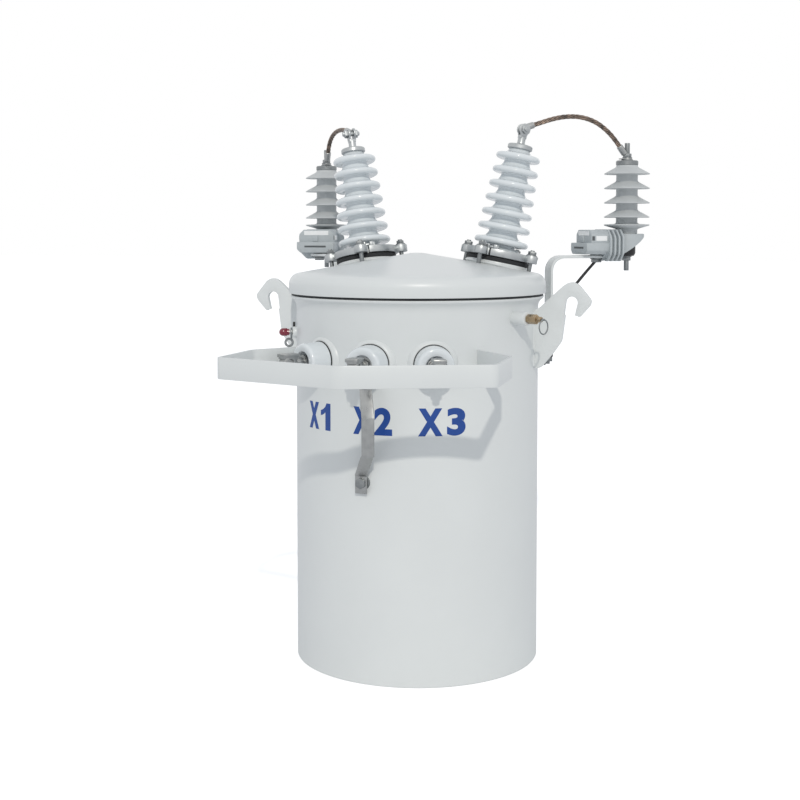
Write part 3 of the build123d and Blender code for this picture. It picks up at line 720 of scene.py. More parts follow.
def clamp_ring(side):
    bm = bmesh.new()
    split = CLAMP_SPLIT[side]
    ring = plate(bm, clamp_outline(split), CLAMP_TOP - CLAMP_BOTTOM, edge=1.6)
    bmesh.ops.translate(bm, verts=ring, vec=(0, 0, (CLAMP_TOP + CLAMP_BOTTOM) / 2 * MM))
    for ear in EAR_ANGLES:
        boss = rod(bm, 10.6, CLAMP_TOP - 1, CLAMP_TOP + 1.2, edge=0.6)
        place(bm, boss, Matrix.Rotation(radians(ear), 4, "Z") @ Matrix.Translation((STUD_RADIUS * MM, 0, 0)))
    for turn in (-7.5, 7.5):
        lug = block(bm, (12, 8, 9), (52, 0, CLAMP_TOP + 3.5), edge=2.0, segments=3)
        place(bm, lug, Matrix.Rotation(radians(split + turn), 4, "Z"))
    screw = rod(bm, 3, -11, 11, edge=0.4, steps=20) + hexagon(bm, 9, 8.5, 13.5)
    place(bm, screw, Matrix.Rotation(radians(split), 4, "Z") @ Matrix.Translation((52 * MM, 0, 30.5 * MM))
          @ FACE_ALONG_Y)
    return finished(f"clamp_ring_{side}", bm, CAST_ALUMINIUM, [f"hv_clamp_{side}"],
                    where=hv_frame(side))


def clamp_studs():
    bm = bmesh.new()
    for side in SIDES:
        for ear in EAR_ANGLES:
            stud = rod(bm, 4, -4, CLAMP_TOP + 11, edge=0.8)
            stud += rod(bm, 9.2, CLAMP_TOP + 1.2, CLAMP_TOP + 2.6, edge=0.4)
            stud += hexagon(bm, 13, CLAMP_TOP + 2.6, CLAMP_TOP + 8.6)
            place(bm, stud, hv_frame(side) @ Matrix.Rotation(radians(ear), 4, "Z")
                  @ Matrix.Translation((STUD_RADIUS * MM, 0, 0)))
    return finished("clamp_studs", bm, GALVANISED, ["hv_clamp_studs"])


for side in SIDES:
    clamp_ring(side)
clamp_studs()

# %% [markdown]
# On top of a bushing sit a flat cast cap, a stem, and a slotted eye that a bolt closes on the lead's lug.
# The bolt points sideways to the lead, so the terminal is turned about the bushing until its slot faces the
# arrester.

# %% High-voltage terminals
HV_TOP = 218.0
EYE_HEIGHT = 256.0


def terminal_turn(side):
    """The angle about the bushing that points a terminal's X towards its arrester."""
    towards = hv_frame(side).inverted() @ (arrester_frame(side).translation + Vector((0, 0, 0.93)))
    return atan2(towards.y, towards.x)


def hv_terminal(side):
    bm = bmesh.new()
    turned(bm, [(0, HV_TOP), (21.6, HV_TOP), (23, HV_TOP + 1.4), (23, HV_TOP + 7), (21.2, HV_TOP + 8.8),
                (17, HV_TOP + 9.6), (9, HV_TOP + 10.4), (7.6, HV_TOP + 11.5), (7.1, HV_TOP + 14), (7.1, 242),
                (0, 242)], steps=64)
    jaw = arc(0, 0, 11, -50, 230, 14)
    for y in (-5.2, 5.2):
        cheek = plate(bm, [*jaw, (-5.5, -14), (5.5, -14)], 3.6, edge=0.9)
        place(bm, cheek, Matrix.Translation((0, y * MM, EYE_HEIGHT * MM)) @ Matrix.Rotation(pi / 2, 4, "X"))
    block(bm, (13, 13, 7), (0, 0, 242), edge=1.4, segments=3)
    across = Matrix.Translation((0, 0, EYE_HEIGHT * MM)) @ FACE_ALONG_Y
    place(bm, rod(bm, 4.2, -16, 17, edge=0.6) + hexagon(bm, 14, -12.5, -7, edge=0.6)
          + hexagon(bm, 14, 7, 13.5, edge=0.6), across)
    return finished(f"terminal_{side}", bm, CAST_ALUMINIUM, [f"hv_terminal_{side}"],
                    where=hv_frame(side) @ Matrix.Rotation(terminal_turn(side), 4, "Z"))


for side in SIDES:
    hv_terminal(side)

# %% [markdown]
# Low-voltage bushings. Three short porcelain drums stand out from the wall, each on a dark gasket, with a
# recessed mouth. The stem in the mouth ends in a tinned eye with a flat top that takes the line's
# conductor, and a hexagon screw below clamps it.

# %% Low-voltage bushings and their eyes
LV_EYE_CENTRE = 71.0


def drum(number):
    bm = bmesh.new()
    side = [(0, 4.6), (32.2, 4.6), (32.9, 5.2), (33, 6.4), (32.4, 20), (31.5, 35.5), (31.1, 38)]
    rim = [(30.2, 40), (28.9, 41.4), (27.2, 42), (19.4, 42), (18.3, 41.5), (17.6, 40.4), (17.5, 39)]
    profile = [*side, *rim, (17.5, 31.6), (16.6, 30.2), (15.4, 30), (0, 30)]
    place(bm, turned(bm, profile), wall_frame(LV_BEARINGS[number], LV_HEIGHT))
    return finished(f"drum_{number}", bm, GLAZE, [f"lv_bushing_{number}"])


def drum_gaskets():
    bm = bmesh.new()
    for bearing in LV_BEARINGS.values():
        place(bm, turned(bm, [(0, 3), (33.6, 3), (34, 3.4), (34, 4.2), (33.6, 4.6), (0, 4.6)]),
              wall_frame(bearing, LV_HEIGHT))
    return finished("drum_gaskets", bm, RUBBER, ["lv_gaskets"])


def drum_eye(number):
    """A stem, a washer and nut on it, and the eye, bored sideways for the conductor."""
    bm = bmesh.new()
    rod(bm, 8, 30, 60, edge=0.8)
    rod(bm, 14.5, 30, 32, edge=0.6)
    hexagon(bm, 22, 32, 41)
    eye = turned(bm, [(6.5, -8), (7.2, -9), (12.2, -9), (13.6, -8.2), (14, -7), (14, 7), (13.6, 8.2),
                      (12.2, 9), (7.2, 9), (6.5, 8), (6.5, -8)], steps=48)
    place(bm, eye, Matrix.Translation((0, 0, LV_EYE_CENTRE * MM)) @ FACE_ALONG_X)
    block(bm, (22, 6, 31), (0, 13, LV_EYE_CENTRE), edge=0.9)
    block(bm, (17, 3.6, 29), (0, 8.8, LV_EYE_CENTRE), edge=0.7)
    screw = rod(bm, 5.2, -16, -10, edge=0.4) + hexagon(bm, 12, -22.8, -15, edge=0.7)
    place(bm, screw, Matrix.Translation((0, 0, LV_EYE_CENTRE * MM)) @ FACE_ALONG_Y)
    return finished(f"drum_eye_{number}", bm, TINNED_COPPER, [f"lv_terminal_{number}"],
                    where=wall_frame(LV_BEARINGS[number], LV_HEIGHT))


drum_gaskets()
for number in LV_BEARINGS:
    drum(number)
    drum_eye(number)

# %% [markdown]
# The guard band is one flat bar bent round the low-voltage bushings in the shape of a house, and welded to
# the wall at both ends. A path of straight runs and round bends is swept to the bar's height and then given
# its thickness, and a bead runs down each end.

# %% Guard band
BAND_BOTTOM = 538.0
BAND_TOP = 573.0
BAND_TURN = 4.7


def band_path():
    """The line along the bar's inner face: X across the tank, and the second value towards the front."""
    right = [(146.37, 157.21), (224.5, 257.7), (228.46, 400.98)]
    corners = [*right, (0, 484.57), *[(-x, y) for x, y in reversed(right)]]
    return rounded(corners, [27.5, 15.5, 37.5, 15.5, 27.5], 8)


def guard_band():
    bm = bmesh.new()
    bar = bent_bar(bm, band_path(), BAND_TOP - BAND_BOTTOM, 5.0, edge=1.1)
    middle = Matrix.Translation((0, 0, (BAND_TOP + BAND_BOTTOM) / 2 * MM))
    place(bm, bar, middle @ Matrix.Rotation(pi / 2, 4, "X"))
    for x in (-1, 1):
        tube(bm, [Vector((x * 151.5, -162.4, z)) * MM for z in range(541, 573, 4)], 2.0)
    return finished("guard_bar", bm, ENAMEL, ["guard_band"],
                    where=Matrix.Rotation(radians(BAND_TURN), 4, "Z"))


guard_band()

# %% [markdown]
# The earthing strap runs from the middle bushing out and down, hangs free of the wall, and turns back to a
# boss on the tank, where a hexagon bolt holds it. It is a thin bar bent along a path, and its end lies
# under the bolt.

# %% Earthing strap and the earthing bolts
STRAP_BOLT = wall_frame(-5.5, 348.0)
STRAP_WIDTH = 22.0
STRAP_THICKNESS = 3.0


def along_bearing(bearing):
    """Turns a piece drawn in XZ, so that its X points away from the tank's axis at a bearing."""
    return Matrix.Rotation(radians(bearing - 90), 4, "Z")


def strap_bearing(height):
    """Where the strap's middle is at a height: straight above, then shifted sideways to its bolt."""
    heights = (361.0, 402.0, 465.0, 516.8)
    bearings = (-5.5, 1.3, 1.3, -1.5)
    if height <= heights[0]:
        return bearings[0]
    for low, high, one, two in zip(heights, heights[1:], bearings, bearings[1:]):
        if height <= high:
            return one + (two - one) * (height - low) / (high - low)
    return bearings[-1]


def earth_strap():
    """A bar bent in one plane, whose vertices are then turned about the tank's axis by their height."""
    bm = bmesh.new()
    path = rounded([(244.4, 516), (265.4, 465), (265.4, 401.2), (226, 361), (226, 330)], [5, 5, 7], 5)
    bar = bent_bar(bm, path, STRAP_WIDTH, STRAP_THICKNESS, edge=0.7)
    for vert in bar:
        vert.co = along_bearing(strap_bearing(vert.co.z / MM)) @ vert.co
    return finished("tinned_strap", bm, TINNED_COPPER, ["earth_strap"])


def hex_bolt(bm, matrix, flats, start, washer=0.0):
    """A hexagon bolt's head on a washer, facing along Z from a height."""
    made = []
    if washer:
        made += rod(bm, washer, start, start + 1.6, edge=0.4)
        start += 1.6
    made += hexagon(bm, flats, start, start + 6, edge=0.9)
    place(bm, made, matrix)


def earthing_bolts():
    bm = bmesh.new()
    place(bm, rod(bm, 13, -3, 3, edge=0.8), STRAP_BOLT)
    hex_bolt(bm, STRAP_BOLT, 17, 6, washer=10.4)
    side_pad = wall_frame(105, 540)
    place(bm, rod(bm, 11, -3, 14, edge=1.0) + rod(bm, 4, 14, 26, edge=0.5), side_pad)
    hex_bolt(bm, side_pad, 15, 14, washer=9.0)
    return finished("earthing_bolt_heads", bm, GALVANISED, ["earthing_bolts"])


earth_strap()
earthing_bolts()

# %% [markdown]
# Lifting hooks and pole lugs. The hooks are cut from eight millimetre plate and stand edge-on to the tank.
# The lugs on the back are folded channels with one bolt hole each. Both are welded on, and a bead down each
# side shows it.

# %% Lifting hooks and pole lugs
HOOK_OUTLINE = [(214, 632), (226, 634), (250, 656), (272.5, 676.5), (281, 682), (290, 683.5), (300, 679),
                (322.5, 652), (321, 643), (301, 621), (298.4, 624), (298.4, 647)]
HOOK_INNER = [(276.8, 647), (276.5, 628), (270, 579), (253, 555), (232, 530), (214, 530)]


def softened(outline, reach):
    """A closed outline with each corner cut to a short arc that starts a distance before it."""
    result = []
    for before, corner, after in zip([outline[-1]] + outline[:-1], outline, outline[1:] + [outline[0]]):
        before, corner, after = Vector(before), Vector(corner), Vector(after)
        first = corner + (before - corner) * min(0.45, reach / (before - corner).length)
        last = corner + (after - corner) * min(0.45, reach / (after - corner).length)
        for i in range(5):
            t = i / 4
            result.append(tuple(first * (1 - t) ** 2 + corner * 2 * t * (1 - t) + last * t * t))
    return result


def lifting_hook(side):
    bm = bmesh.new()
    slot_end = arc(287.6, 647, 10.8, 0, 180, 12)
    outline = softened(HOOK_OUTLINE[:-1], 5) + slot_end + softened(HOOK_INNER[1:], 5)
    place(bm, plate(bm, outline, 8, edge=1.1), Matrix.Rotation(pi / 2, 4, "X"))
    for y in (-4.68, 4.68):
        tube(bm, [Vector((219.9, y, z)) * MM for z in range(532, 632, 6)], 1.5)
    if side == "left":
        place(bm, list(bm.verts), Matrix.Diagonal((-1, 1, 1, 1)))
        bmesh.ops.recalc_face_normals(bm, faces=list(bm.faces))
    return finished(f"hook_{side}", bm, ENAMEL, [f"lifting_hook_{side}"])


def pole_lug(name, height):
    """A channel: a face with the bolt's hole, and two legs that end on the tank's wall."""
    bm = bmesh.new()
    corners = softened([(-45, -35), (45, -35), (45, 35), (-45, 35)], 2)
    face = plate(bm, corners, 8, edge=1.2, holes=[(0, 0, 9)])
    place(bm, face, Matrix.Translation((0, 0.28, height * MM)) @ Matrix.Rotation(pi / 2, 4, "X"))
    for x, bead in ((-41, -46.2), (41, 46.2)):
        block(bm, (7.4, 64, 69.4), (x, 246.5, height), edge=1.0)
        tube(bm, [Vector((bead, 215.5, height + z)) * MM for z in range(-33, 34, 6)], 2.8)
    return finished(f"{name}_channel", bm, ENAMEL, [name])


for side in SIDES:
    lifting_hook(side)
pole_lug("support_lug_upper", 476.0)
pole_lug("support_lug_lower", 190.0)

# %% [markdown]
# The relief valve is turned from brass: a hexagon for the spanner and a plain barrel. Its stem carries a
# wire ring and moves out 5 mm when it is pulled, so stem and ring ride on a body of their own.

# %% Relief valve
VALVE = wall_frame(68.0, 623.0)


def relief_valve():
    bm = bmesh.new()
    place(bm, rod(bm, 12, -3, 30, edge=1.4), VALVE)
    finished("valve_stub", bm, ENAMEL, ["valve_boss"])
    bm = bmesh.new()
    hexagon(bm, 14.5, 30, 50, edge=0.9)
    turned(bm, [(2.05, 49), (5.6, 49), (5.6, 51.4), (4.2, 52), (4.2, 53), (4.8, 53.4), (4.8, 58), (4.3, 59),
                (2.05, 59), (2.05, 49)], steps=48)
    return finished("valve_body", bm, BRASS, ["relief_valve"], where=VALVE)


def relief_pull():
    bm = bmesh.new()
    rod(bm, 1.9, 40, 65.2, edge=0.5, steps=20)
    tube(bm, [Vector((x, y, 63)) * MM for x, y in arc(0, -12.3, 12.3, 0, 352.5, 47)], 1.2, closed=True)
    return finished("pull_ring", bm, GALVANISED, ["relief_pull"], body="relief_pull",
                    where=VALVE)


relief_valve()
relief_pull()

# %% [markdown]
# The breaker's shaft comes out through a welded boss. A flat lever turns on it, with an upright eye for a
# hot stick, and the red overload lamp sits on the end. Only the lever rides on the moving body.

# %% Breaker boss, lever and lamp
BREAKER = wall_frame(-67.0, 589.0)


def breaker():
    bm = bmesh.new()
    place(bm, rod(bm, 10.5, -4, 6.5, edge=0.8), BREAKER)
    place(bm, rod(bm, 4.0, 6, 13, steps=40), BREAKER)
    finished("breaker_stub", bm, ENAMEL, ["breaker_boss"])
    bm = bmesh.new()
    block(bm, (4.4, 10, 4.6), (0, 13.6, 4.4), edge=0.8)
    finished("lever_stop", bm, BLACK_MOULDING, where=BREAKER)


def breaker_lever():
    bm = bmesh.new()
    outline = arc(0, 0, 8, -35, 215, 16) + [(-4.5, -11), (-4.5, -15), (4.5, -15), (4.5, -11)]
    place(bm, plate(bm, outline, 3.5, edge=0.6, holes=[(0, 0, 4.05)]), Matrix.Translation((0, 0, 9.4 * MM)))
    eye = turned(bm, [(4.5, -1.4), (5.1, -2), (7.8, -2), (8.6, -1.2), (8.6, 1.2), (7.8, 2), (5.1, 2),
                      (4.5, 1.4), (4.5, -1.4)], steps=40)
    place(bm, eye, Matrix.Translation((0, -19 * MM, 13.8 * MM)) @ FACE_ALONG_X)
    return finished("lever", bm, GALVANISED, ["breaker_handle"], body="breaker_handle",
                    where=BREAKER)


def signal_lamp():
    bm = bmesh.new()
    turned(bm, [(0, 13), (5.5, 13), (6, 13.5), (6, 17), (6.9, 17.2), (7.2, 17.8), (7.2, 24.5),
                *arc(0, 24.5, 7.2, 8, 90, 8)], steps=40)
    return finished("red_lamp", bm, RED_LENS, ["signal_lamp"], where=BREAKER)


breaker()
breaker_lever()
signal_lamp()

# %% [markdown]
# Each arrester stands on an insulating arm, and the arm on a flat bar that rises from the tank's wall past
# the lid and turns outwards. The bar's bends are a path again. Its foot lies flat on the wall, with a weld
# bead down each edge.

# %% Arrester brackets and bolts
def arrester_bracket(side):
    bm = bmesh.new()
    end = ARM_BOLT_RADIUS[side] + 9
    corners = [(225, 560.5), (225, 597), (260.5, 633), (260.5, 721.5), (end - 0.5, 721.5)]
    path = rounded(corners, [14, 9.5, 23.5], 8)
    bar = bent_bar(bm, path, 32, 5, edge=1.0)
    for y in (-17, 17):
        bar += tube(bm, [Vector((219.6, y, z)) * MM for z in range(562, 594, 4)], 2.4)
    place(bm, bar, along_bearing(BRACKET_BEARING * SIDES[side]))
    return finished(f"bracket_bar_{side}", bm, ENAMEL, [f"arrester_bracket_{side}"])


def arm_bolts():
    bm = bmesh.new()
    for side in SIDES:
        made = hexagon(bm, 17, 713, 719.4, edge=0.8) + rod(bm, 11.6, 719.4, 721.5, edge=0.4)
        made += rod(bm, 12, 726.5, 728.6, edge=0.4)
        place(bm, made, arm_frame(side))
    return finished("arm_bolt_heads", bm, GALVANISED, ["arm_bolts"])


for side in SIDES:
    arrester_bracket(side)
arm_bolts()

# %% [markdown]
# The arm is one compression moulding: a block with broken corners over a ledge, four eight-sided ribs that
# lengthen the path for stray current, and a sloped seat. A label's place and a moulded boss are drawn as thin
# pieces on its faces, and so is painted shade: dark grey sheets that stand in for the shade in its small
# recesses. The label stays blank.

# %% Insulating arms
ARM_RIBS = {11.0: 18.0, 19.5: 9.0, 28.0: 0.0, 36.0: 0.0}
ARM_RIB_MIDDLE = 745.5
ARM_BOTTOM = 728.6
ARM_SEAT_BOTTOM = 722.0
SLOPE_REACH = 29.0


def rib_outline(width, height, cut, notch=0.0):
    """An eight-sided face with its height along X, upside down, and a notch in its lower edge."""
    x, y = height / 2, width / 2
    lower = [(x, cut - y), (x, y - cut)]
    if notch:
        deep = ARM_RIB_MIDDLE - ARM_BOTTOM
        lower[1:1] = [(x, -notch), (deep, -notch), (deep, notch), (x, notch)]
    upper = [(x - cut, y), (cut - x, y), (-x, y - cut), (-x, cut - y), (cut - x, -y), (x - cut, -y)]
    return softened(lower + upper, 3)


def broken_block(bm, size, centre, cut, upper):
    """A block with its two long upper or lower corners cut off."""
    before = set(bm.verts)
    made = block(bm, size, centre, edge=0)
    corners = [e for e in turning_edges(made) if abs(e.verts[0].co.x - e.verts[1].co.x) > size[0] * 0.9 * MM
               and (e.verts[0].co.z > centre[2] * MM) == upper]
    bevel(bm, corners, cut, segments=1)
    bevel(bm, turning_edges(since(bm, before), 30), 1.3)


def arrester_seat(bm):
    """The round seat under the arrester, cut off below by the slope that rises outwards."""
    before = set(bm.verts)
    rod(bm, 33, ARM_SEAT_BOTTOM, 767, edge=1.6, steps=64)
    seat = since(bm, before)
    bmesh.ops.translate(bm, verts=seat, vec=(ARM_TO_ARRESTER * MM, 0, 0))
    slope = Vector((48, 0, 33)).cross(Vector((0, 1, 0))).normalized()
    faces = faces_on(seat)
    cut = bmesh.ops.bisect_plane(bm, geom=[*seat, *{e for f in faces for e in f.edges}, *faces],
                                 plane_co=((ARM_TO_ARRESTER - SLOPE_REACH) * MM, 0, ARM_SEAT_BOTTOM * MM),
                                 plane_no=slope, clear_inner=slope.z > 0, clear_outer=slope.z < 0)
    rim = [item for item in cut["geom_cut"] if isinstance(item, bmesh.types.BMEdge)]
    bmesh.ops.edgeloop_fill(bm, edges=rim)


def moulded_arm(side):
    bm = bmesh.new()
    broken_block(bm, (36, 71, 30), (-8, 0, 759.6), 9, upper=True)
    broken_block(bm, (46, 76, 21.4), (-13, 0, 739.3), 7, upper=False)
    neck = plate(bm, rib_outline(68, 44, 10), 34, edge=0)
    place(bm, neck, Matrix.Translation((21 * MM, 0, ARM_RIB_MIDDLE * MM)) @ FACE_ALONG_X)
    for place_along, notch in ARM_RIBS.items():
        rib = plate(bm, rib_outline(86, 60, 14, notch), 3.4, edge=0.9)
        place(bm, rib, Matrix.Translation((place_along * MM, 0, ARM_RIB_MIDDLE * MM)) @ FACE_ALONG_X)
    arrester_seat(bm)
    bmesh.ops.recalc_face_normals(bm, faces=list(bm.faces))
    block(bm, (3, 11, 13), (-27.0, 2, 757), edge=0.8)
    return finished(f"moulded_arm_{side}", bm, POLYESTER, [f"arrester_arm_{side}"],
                    where=arm_frame(side))


def arm_labels():
    bm = bmesh.new()
    for side in SIDES:
        made = block(bm, (0.4, 50, 8.4), (-26.1, 0, 768), edge=0.1, segments=1)
        for y in (-35.6, 35.6):
            made += block(bm, (22, 0.4, 9), (-5, y, 758.6), edge=0.1, segments=1)
        place(bm, made, arm_frame(side))
    return finished("arm_labels", bm, LABEL_FILM)


# Painted shade: thin dark grey sheets on each arm's faces stand in for the shade inside its small recesses.
def arm_painted_recess_shade():
    bm = bmesh.new()
    for side in SIDES:
        made = block(bm, (0.8, 44, 3.6), (-36.0, 0, 741), edge=0.3)
        for y in (-35.7, 35.7):
            made += block(bm, (5, 0.8, 8), (-21.5, y, 758.6), edge=0.3)
        place(bm, made, arm_frame(side))
    return finished("arm_painted_recess_shade", bm, SHADE)


for side in SIDES:
    moulded_arm(side)
arm_labels()
arm_painted_recess_shade()

# %% [markdown]
# A polymer arrester has thin sheds with sharp rims, flat below and sloped above, so it looks quite unlike
# the porcelain. Below its seat hangs the disconnector, a dark turned cup with a stud. On top are the cap,
# the stud, a washer and the nut that clamps the lead.

# %% Arresters, caps and disconnectors
SHED_EDGES = (798.0, 825.0, 852.5, 880.0)


def silicone_housing(side):
    bm = bmesh.new()
    profile = [(0, 767), (19.6, 767), (20.3, 767.8), (20.3, 775), (22, 776.6), (42, 782.4), (43, 783.4),
               (43, 784.2), (42, 784.9), (24, 785.8), (21, 787), (20.3, 789)]
    for edge in SHED_EDGES:
        profile += [(20.3, edge - 1.6), (21, edge - 0.5), (23, edge), (41.4, edge - 0.4), (42.7, edge - 0.1),
                    (43, edge + 0.6), (42.6, edge + 1.5), (41.4, edge + 2.2), (24, edge + 11.6),
                    (21.4, edge + 13.4), (20.3, edge + 15.6)]
    profile += [(20.3, 897), (0, 897)]
    place(bm, turned(bm, profile), arrester_frame(side))
    return finished(f"silicone_{side}", bm, SILICONE, [f"arrester_{side}"])


def arrester_tops():
    bm = bmesh.new()
    for side in SIDES:
        cap = [(0, 897), (20, 897), (21, 898), (21, 904), (19.4, 905.8), (17, 906), (0, 906)]
        made = turned(bm, cap, steps=64)
        made += rod(bm, 11, 906, 908, edge=0.5) + rod(bm, 9.6, 910, 912, edge=0.5)
        made += hexagon(bm, 14, 912, 919) + rod(bm, 4.8, 906, 939, edge=0.8)
        for height in range(920, 938, 2):
            made += turned(bm, [(4.6, height), (5.1, height + 0.8), (4.6, height + 1.6)], steps=24)
        place(bm, made, arrester_frame(side))
    return finished("arrester_tops", bm, GALVANISED, ["arrester_caps"])


def disconnectors():
    bm = bmesh.new()
    for side in SIDES:
        cup = [(0, 744), (17, 744), (17, 731), (16.4, 729), (14.6, 726), (13.6, 725), (0, 725)]
        made = turned(bm, cup, steps=64)
        place(bm, made, arrester_frame(side))
    finished("disconnector_cups", bm, BLACK_MOULDING, ["disconnectors"])
    bm = bmesh.new()
    for side in SIDES:
        made = rod(bm, 4.8, 697, 726, edge=0.8) + hexagon(bm, 14, 716, 723) + rod(bm, 10, 723, 725, edge=0.4)
        place(bm, made, arrester_frame(side))
    return finished("disconnector_studs", bm, GALVANISED)


for side in SIDES:
    silicone_housing(side)
arrester_tops()
disconnectors()

# %% [markdown]
# The leads. Each follows the same route points as the solid it stands for, as a smooth spline. The two
# copper jumpers are seven loosely twisted strands, so six of them wind round the spline and one runs
# inside. The thin earth lead is one round black sheath. Both ends of a jumper have a crimped lug, and these
# ride with the cord.

# %% Leads
HV_LEAD = 9.0
EARTH_LEAD = 5.5
STRAND = 3.0
TWIST_LENGTH = 62.0
UPPER_SLEEVE = {"left": 28.0, "right": 14.0}
ROUTES = {
    "right": [(0.03, 964), (0.15, 972), (0.28, 981), (0.41, 986), (0.54, 986), (0.67, 979), (0.78, 965),
              (0.88, 945), (0.96, 922)],
    "left": [(0.03, 962), (0.18, 968), (0.35, 972), (0.52, 972), (0.68, 968), (0.81, 959), (0.905, 944),
             (0.96, 921)],
}
EARTH_ROUTE = [(286, 203, 714), (274, 187, 697), (260, 165, 675), (245, 138, 651), (236, 114, 624),
               (232, 94, 596), (233, 78, 569), (236, 64, 545)]


def jumper_route(side):
    start = hv_frame(side) @ Vector((0, 0, EYE_HEIGHT * MM))
    end = arrester_frame(side).translation
    return [Vector((start.x + (end.x - start.x) * t, start.y + (end.y - start.y) * t, z * MM))
            for t, z in ROUTES[side]]


def spline_curve(name, route, radius=0.0):
    """A smooth curve along points in metres, round in section if a radius in millimetres is given."""
    curve = bpy.data.curves.new(name, "CURVE")
    curve.dimensions = "3D"
    curve.resolution_u = 12
    curve.bevel_depth = radius * MM
    curve.bevel_resolution = 5
    curve.use_fill_caps = True
    spline = curve.splines.new("NURBS")
    spline.points.add(len(route) - 1)
    for point, where in zip(spline.points, route):
        point.co = (*where, 1)
    spline.order_u = 3
    spline.use_endpoint_u = True
    return curve


def points_on(route):
    """The points that a smooth curve along a route passes through."""
    holder = bpy.data.objects.new("line", spline_curve("line", route))
    mesh = bpy.data.meshes.new_from_object(holder)
    points = [vert.co.copy() for vert in mesh.vertices]
    bpy.data.objects.remove(holder)
    return points


def length_of(points):
    return sum((b - a).length for a, b in zip(points, points[1:]))


def lug(bm, point, towards, length=14.0):
    """A crimped sleeve of some length that runs from a point along a direction."""
    matrix = frame_at(point, Vector((-towards.y, towards.x, 0)), towards)
    profile = [(0, -5), (5.3, -5), (6.1, -4.2), (6.1, length - 1), (5.4, length), (0, length)]
    place(bm, turned(bm, profile, steps=32), matrix)


def jumper(side):
    line = points_on(jumper_route(side))
    bm = bmesh.new()
    for strand in range(7):
        wound = []
        walked = 0.0
        for i, point in enumerate(line):
            ahead = (line[min(i + 1, len(line) - 1)] - line[max(i - 1, 0)]).normalized()
            walked += (point - line[i - 1]).length if i else 0.0
            sideways = ahead.cross(Vector((0, 0, 1))).normalized()
            over = sideways.cross(ahead).normalized()
            angle = 2 * pi * (strand / 6 + walked / (TWIST_LENGTH * MM))
            reach = 0 if strand == 6 else (HV_LEAD - STRAND) / 2 * MM
            wound.append(point + (sideways * cos(angle) + over * sin(angle)) * reach)
        tube(bm, wound, STRAND / 2)
    cord = finished(f"jumper_{side}", bm, COPPER, [f"hv_lead_{side}"])
    bm = bmesh.new()
    lug(bm, line[0], (line[3] - line[0]).normalized(), UPPER_SLEEVE[side])
    lug(bm, line[-1], (line[-4] - line[-1]).normalized())
    ends = finished(f"jumper_lugs_{side}", bm, TINNED_COPPER)


def arrester_palms():
    """The flat palms that hold each jumper's lower end on the arrester's stud."""
    bm = bmesh.new()
    for side in SIDES:
        line = points_on(jumper_route(side))
        away = (line[-1] - arrester_frame(side).translation)
        turn = atan2(away.y, away.x)
        made = plate(bm, arc(0, 0, 9.5, 40, 320, 16) + [(15, -5.5), (15, 5.5)], 2.0, edge=0.4)
        place(bm, made, Matrix.Translation((*arrester_frame(side).translation.xy, 0.909))
              @ Matrix.Rotation(turn, 4, "Z"))
    return finished("arrester_palms", bm, TINNED_COPPER)


def earth_lead():
    route = [Vector(point) * MM for point in EARTH_ROUTE]
    curve = spline_curve("earth_lead_line", route, EARTH_LEAD / 2)
    cord = bpy.data.objects.new("earth_lead_cord", curve)
    bpy.context.scene.collection.objects.link(cord)
    curve.materials.append(VINYL)
    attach(cord, TANK)
    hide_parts("earth_lead")
    line = points_on(route)
    print(f"earth lead: {length_of(line):.3f} m long")


for side in SIDES:
    jumper(side)
arrester_palms()
earth_lead()

# %% [markdown]
# The terminal marks are printed on the wall under the three bushings. Each letter is stretched to its own
# place in the mark, given a hair of thickness, cut into narrow upright strips and wrapped round the tank.
# Cutting first lets each letter bend. The figure one has a flag, so it has an outline of its own.

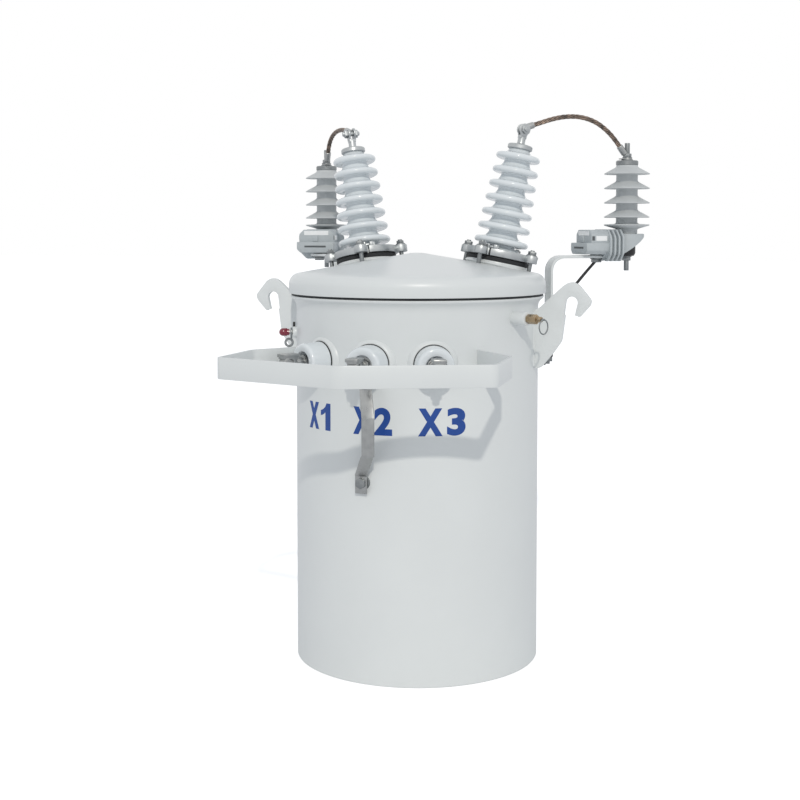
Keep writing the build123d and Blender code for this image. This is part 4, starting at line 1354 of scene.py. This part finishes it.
# %% Terminal marks
MARKS = {"X1": (-31.6, [("X", -31.0, 0.5), ("1", 5.5, 31.0)]),
         "X2": (-1.2, [("X", -35.5, -1.5), ("2", 4.0, 35.5)]),
         "X3": (30.1, [("X", -41.0, 0.5), ("3", 8.0, 41.0)])}
MARK_HEIGHT = 47.0
MARK_CENTRE = 453.0
INK = 0.16
INK_LIFT = 0.1
FIGURE_ONE = [(18, -23.5), (31, -23.5), (31, 23.5), (21, 23.5), (18, 17.5), (12.5, 13), (5.5, 10.5),
              (5.5, 1.5), (12, 3.5), (18, 7.5)]


def letter(bm, sign, left, right):
    """One bold letter stretched between two places along X, in millimetres from the mark's middle."""
    data = bpy.data.curves.new(sign, "FONT")
    data.body = sign
    data.offset = 2.4 / (right - left) if sign == "X" else 0.045
    data.extrude = 0.01
    holder = bpy.data.objects.new(sign, data)
    mesh = bpy.data.meshes.new_from_object(holder)
    bpy.data.objects.remove(holder)
    before = set(bm.verts)
    bm.from_mesh(mesh)
    bpy.data.meshes.remove(mesh)
    made = since(bm, before)
    low, high = (Vector([end(v.co[i] for v in made) for i in range(3)]) for end in (min, max))
    size = high - low
    fit = Matrix.Diagonal(((right - left) * MM / size.x, MARK_HEIGHT * MM / size.y, INK * MM / size.z, 1))
    middle = Matrix.Translation(((left + right) / 2 * MM, 0, 0))
    place(bm, made, middle @ fit @ Matrix.Translation(-(low + high) / 2))


def terminal_mark(word, bearing, letters):
    bm = bmesh.new()
    for sign, left, right in letters:
        if sign == "1":
            plate(bm, FIGURE_ONE, INK, edge=0)
        else:
            letter(bm, sign, left, right)
    for x in range(-40, 44, 4):
        parts = list(bm.verts) + list(bm.edges) + list(bm.faces)
        bmesh.ops.bisect_plane(bm, geom=parts, plane_co=(x * MM, 0, 0), plane_no=(1, 0, 0))
    for vert in bm.verts:
        turn = degrees(vert.co.x / (TANK_RADIUS * MM))
        height = MARK_CENTRE + vert.co.y / MM
        vert.co = bearing_point(bearing + turn, TANK_RADIUS + INK_LIFT + vert.co.z / MM, height)
    bmesh.ops.recalc_face_normals(bm, faces=list(bm.faces))
    return finished(f"mark_{word}", bm, BLUE_INK)


for word, (bearing, letters) in MARKS.items():
    terminal_mark(word, bearing, letters)
print(len(MARKS), "terminal marks", MARK_HEIGHT, "mm high")
